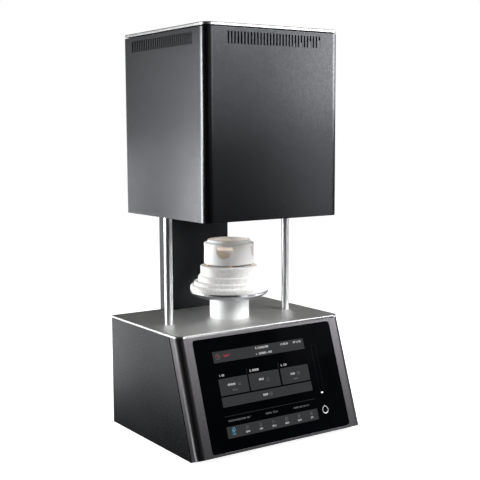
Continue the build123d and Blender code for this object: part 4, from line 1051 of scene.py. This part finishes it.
def panel(name, azimuth, height, dist, sx, sy, power, tint=(1, 1, 1), aim=(0, 0, 0.45)):
    """Soft box at an azimuth counted from +X towards +Y, aimed at the object."""
    d = bpy.data.lights.new(name, "AREA")
    d.shape = "RECTANGLE"
    d.size, d.size_y = sx, sy
    d.energy = power
    d.color = tint
    o = bpy.data.objects.new(name, d)
    a = math.radians(azimuth)
    loc = Vector((dist * math.cos(a), dist * math.sin(a), height))
    o.location = loc
    o.rotation_mode = "QUATERNION"
    o.rotation_quaternion = (Vector(aim) - loc).to_track_quat("-Z", "Y")
    scene.collection.objects.link(o)
    o.visible_camera = False
    return o


# azimuth, height, distance, width, height of the box, height it is aimed at, watts
BOXES = (
    ("rear_60_80", 60, -0.2, 2, 0.95, 0.7, 0.45, 2.2),
    ("rear_90_80", 90, -0.2, 2, 0.95, 0.7, 0.45, 5.1),
    ("front_250_190", 250, 0.9, 1.9, 0.9, 0.7, 0.45, 0.3),
    ("left_112_85", 112, -0.15, 1.9, 0.42, 0.47, -0.15, 2.6),
    ("left_112_130", 112, 0.3, 1.9, 0.42, 0.47, 0.3, 2.3),
    ("left_124_175", 124, 0.75, 1.9, 0.42, 0.47, 0.75, 0.5),
    ("left_136_85", 136, -0.15, 1.9, 0.42, 0.47, -0.15, 2.6),
    ("left_136_130", 136, 0.3, 1.9, 0.42, 0.47, 0.3, 7.6),
    ("left_136_175", 136, 0.75, 1.9, 0.42, 0.47, 0.75, 1.9),
    ("left_148_40", 148, -0.6, 1.9, 0.42, 0.47, -0.6, 1.6),
    ("left_148_130", 148, 0.3, 1.9, 0.42, 0.47, 0.3, 11.4),
    ("left_148_175", 148, 0.75, 1.9, 0.42, 0.47, 0.75, 6.8),
    ("left_160_40", 160, -0.6, 1.9, 0.42, 0.47, -0.6, 6.6),
    ("left_160_85", 160, -0.15, 1.9, 0.42, 0.47, -0.15, 0.9),
    ("left_160_175", 160, 0.75, 1.9, 0.42, 0.47, 0.75, 12.5),
    ("left_160_230", 160, 1.3, 1.9, 0.42, 0.47, 1.3, 4),
    ("right_282_50", -78, -0.5, 1.9, 0.5, 0.46, -0.5, 8.2),
    ("right_282_190", -78, 0.9, 1.9, 0.5, 0.46, 0.9, 1.6),
    ("right_282_235", -78, 1.35, 1.6, 0.5, 0.46, 0.9, 5.7),
    ("right_282_290", -78, 1.9, 1.6, 0.5, 0.46, 0.9, 3.1),
    ("right_298_50", -62, -0.5, 1.9, 0.5, 0.46, -0.5, 1.8),
    ("right_298_190", -62, 0.9, 1.9, 0.5, 0.46, 0.9, 0.6),
    ("right_298_235", -62, 1.35, 1.6, 0.5, 0.46, 0.9, 11.6),
    ("right_298_290", -62, 1.9, 1.6, 0.5, 0.46, 0.9, 10.9),
    ("right_314_145", -46, 0.45, 1.9, 0.5, 0.46, 0.45, 0.9),
    ("right_314_190", -46, 0.9, 1.9, 0.5, 0.46, 0.9, 3.4),
    ("right_314_235", -46, 1.35, 1.6, 0.5, 0.46, 0.9, 1.4),
    ("right_314_290", -46, 1.9, 1.6, 0.5, 0.46, 0.9, 4),
    ("right_330_50", -30, -0.5, 1.9, 0.5, 0.46, -0.5, 8.6),
    ("right_330_190", -30, 0.9, 1.9, 0.5, 0.46, 0.9, 8.8),
    ("right_330_235", -30, 1.35, 1.6, 0.5, 0.46, 0.9, 4.1),
    ("right_330_290", -30, 1.9, 1.6, 0.5, 0.46, 0.9, 6),
    ("right_348_50", -12, -0.5, 1.9, 0.5, 0.46, -0.5, 4.2),
    ("right_348_100", -12, 0, 1.9, 0.5, 0.46, 0, 0.6),
    ("right_348_190", -12, 0.9, 1.9, 0.5, 0.46, 0.9, 5.2),
)
for name, az, z, dist, sx, sy, at, watts in BOXES:
    panel(name, az, z, dist, sx, sy, watts, aim=(0, 0, at))

# small soft lamp that looks down into the open cup
lamp = bpy.data.lights.new("cup_lamp", "AREA")
lamp.shape = "DISK"
lamp.size = 0.05
lamp.energy = 0.012
lamp.color = (1.0, 0.96, 0.92)
lamp_o = bpy.data.objects.new("cup_lamp", lamp)
lamp_o.location = (AX[0], AX[1], 0.3835)
scene.collection.objects.link(lamp_o)
lamp_o.visible_camera = False

scene.view_settings.view_transform = "Standard"
scene.view_settings.look = "None"
scene.view_settings.exposure = 0.0
scene.view_settings.gamma = 1.0
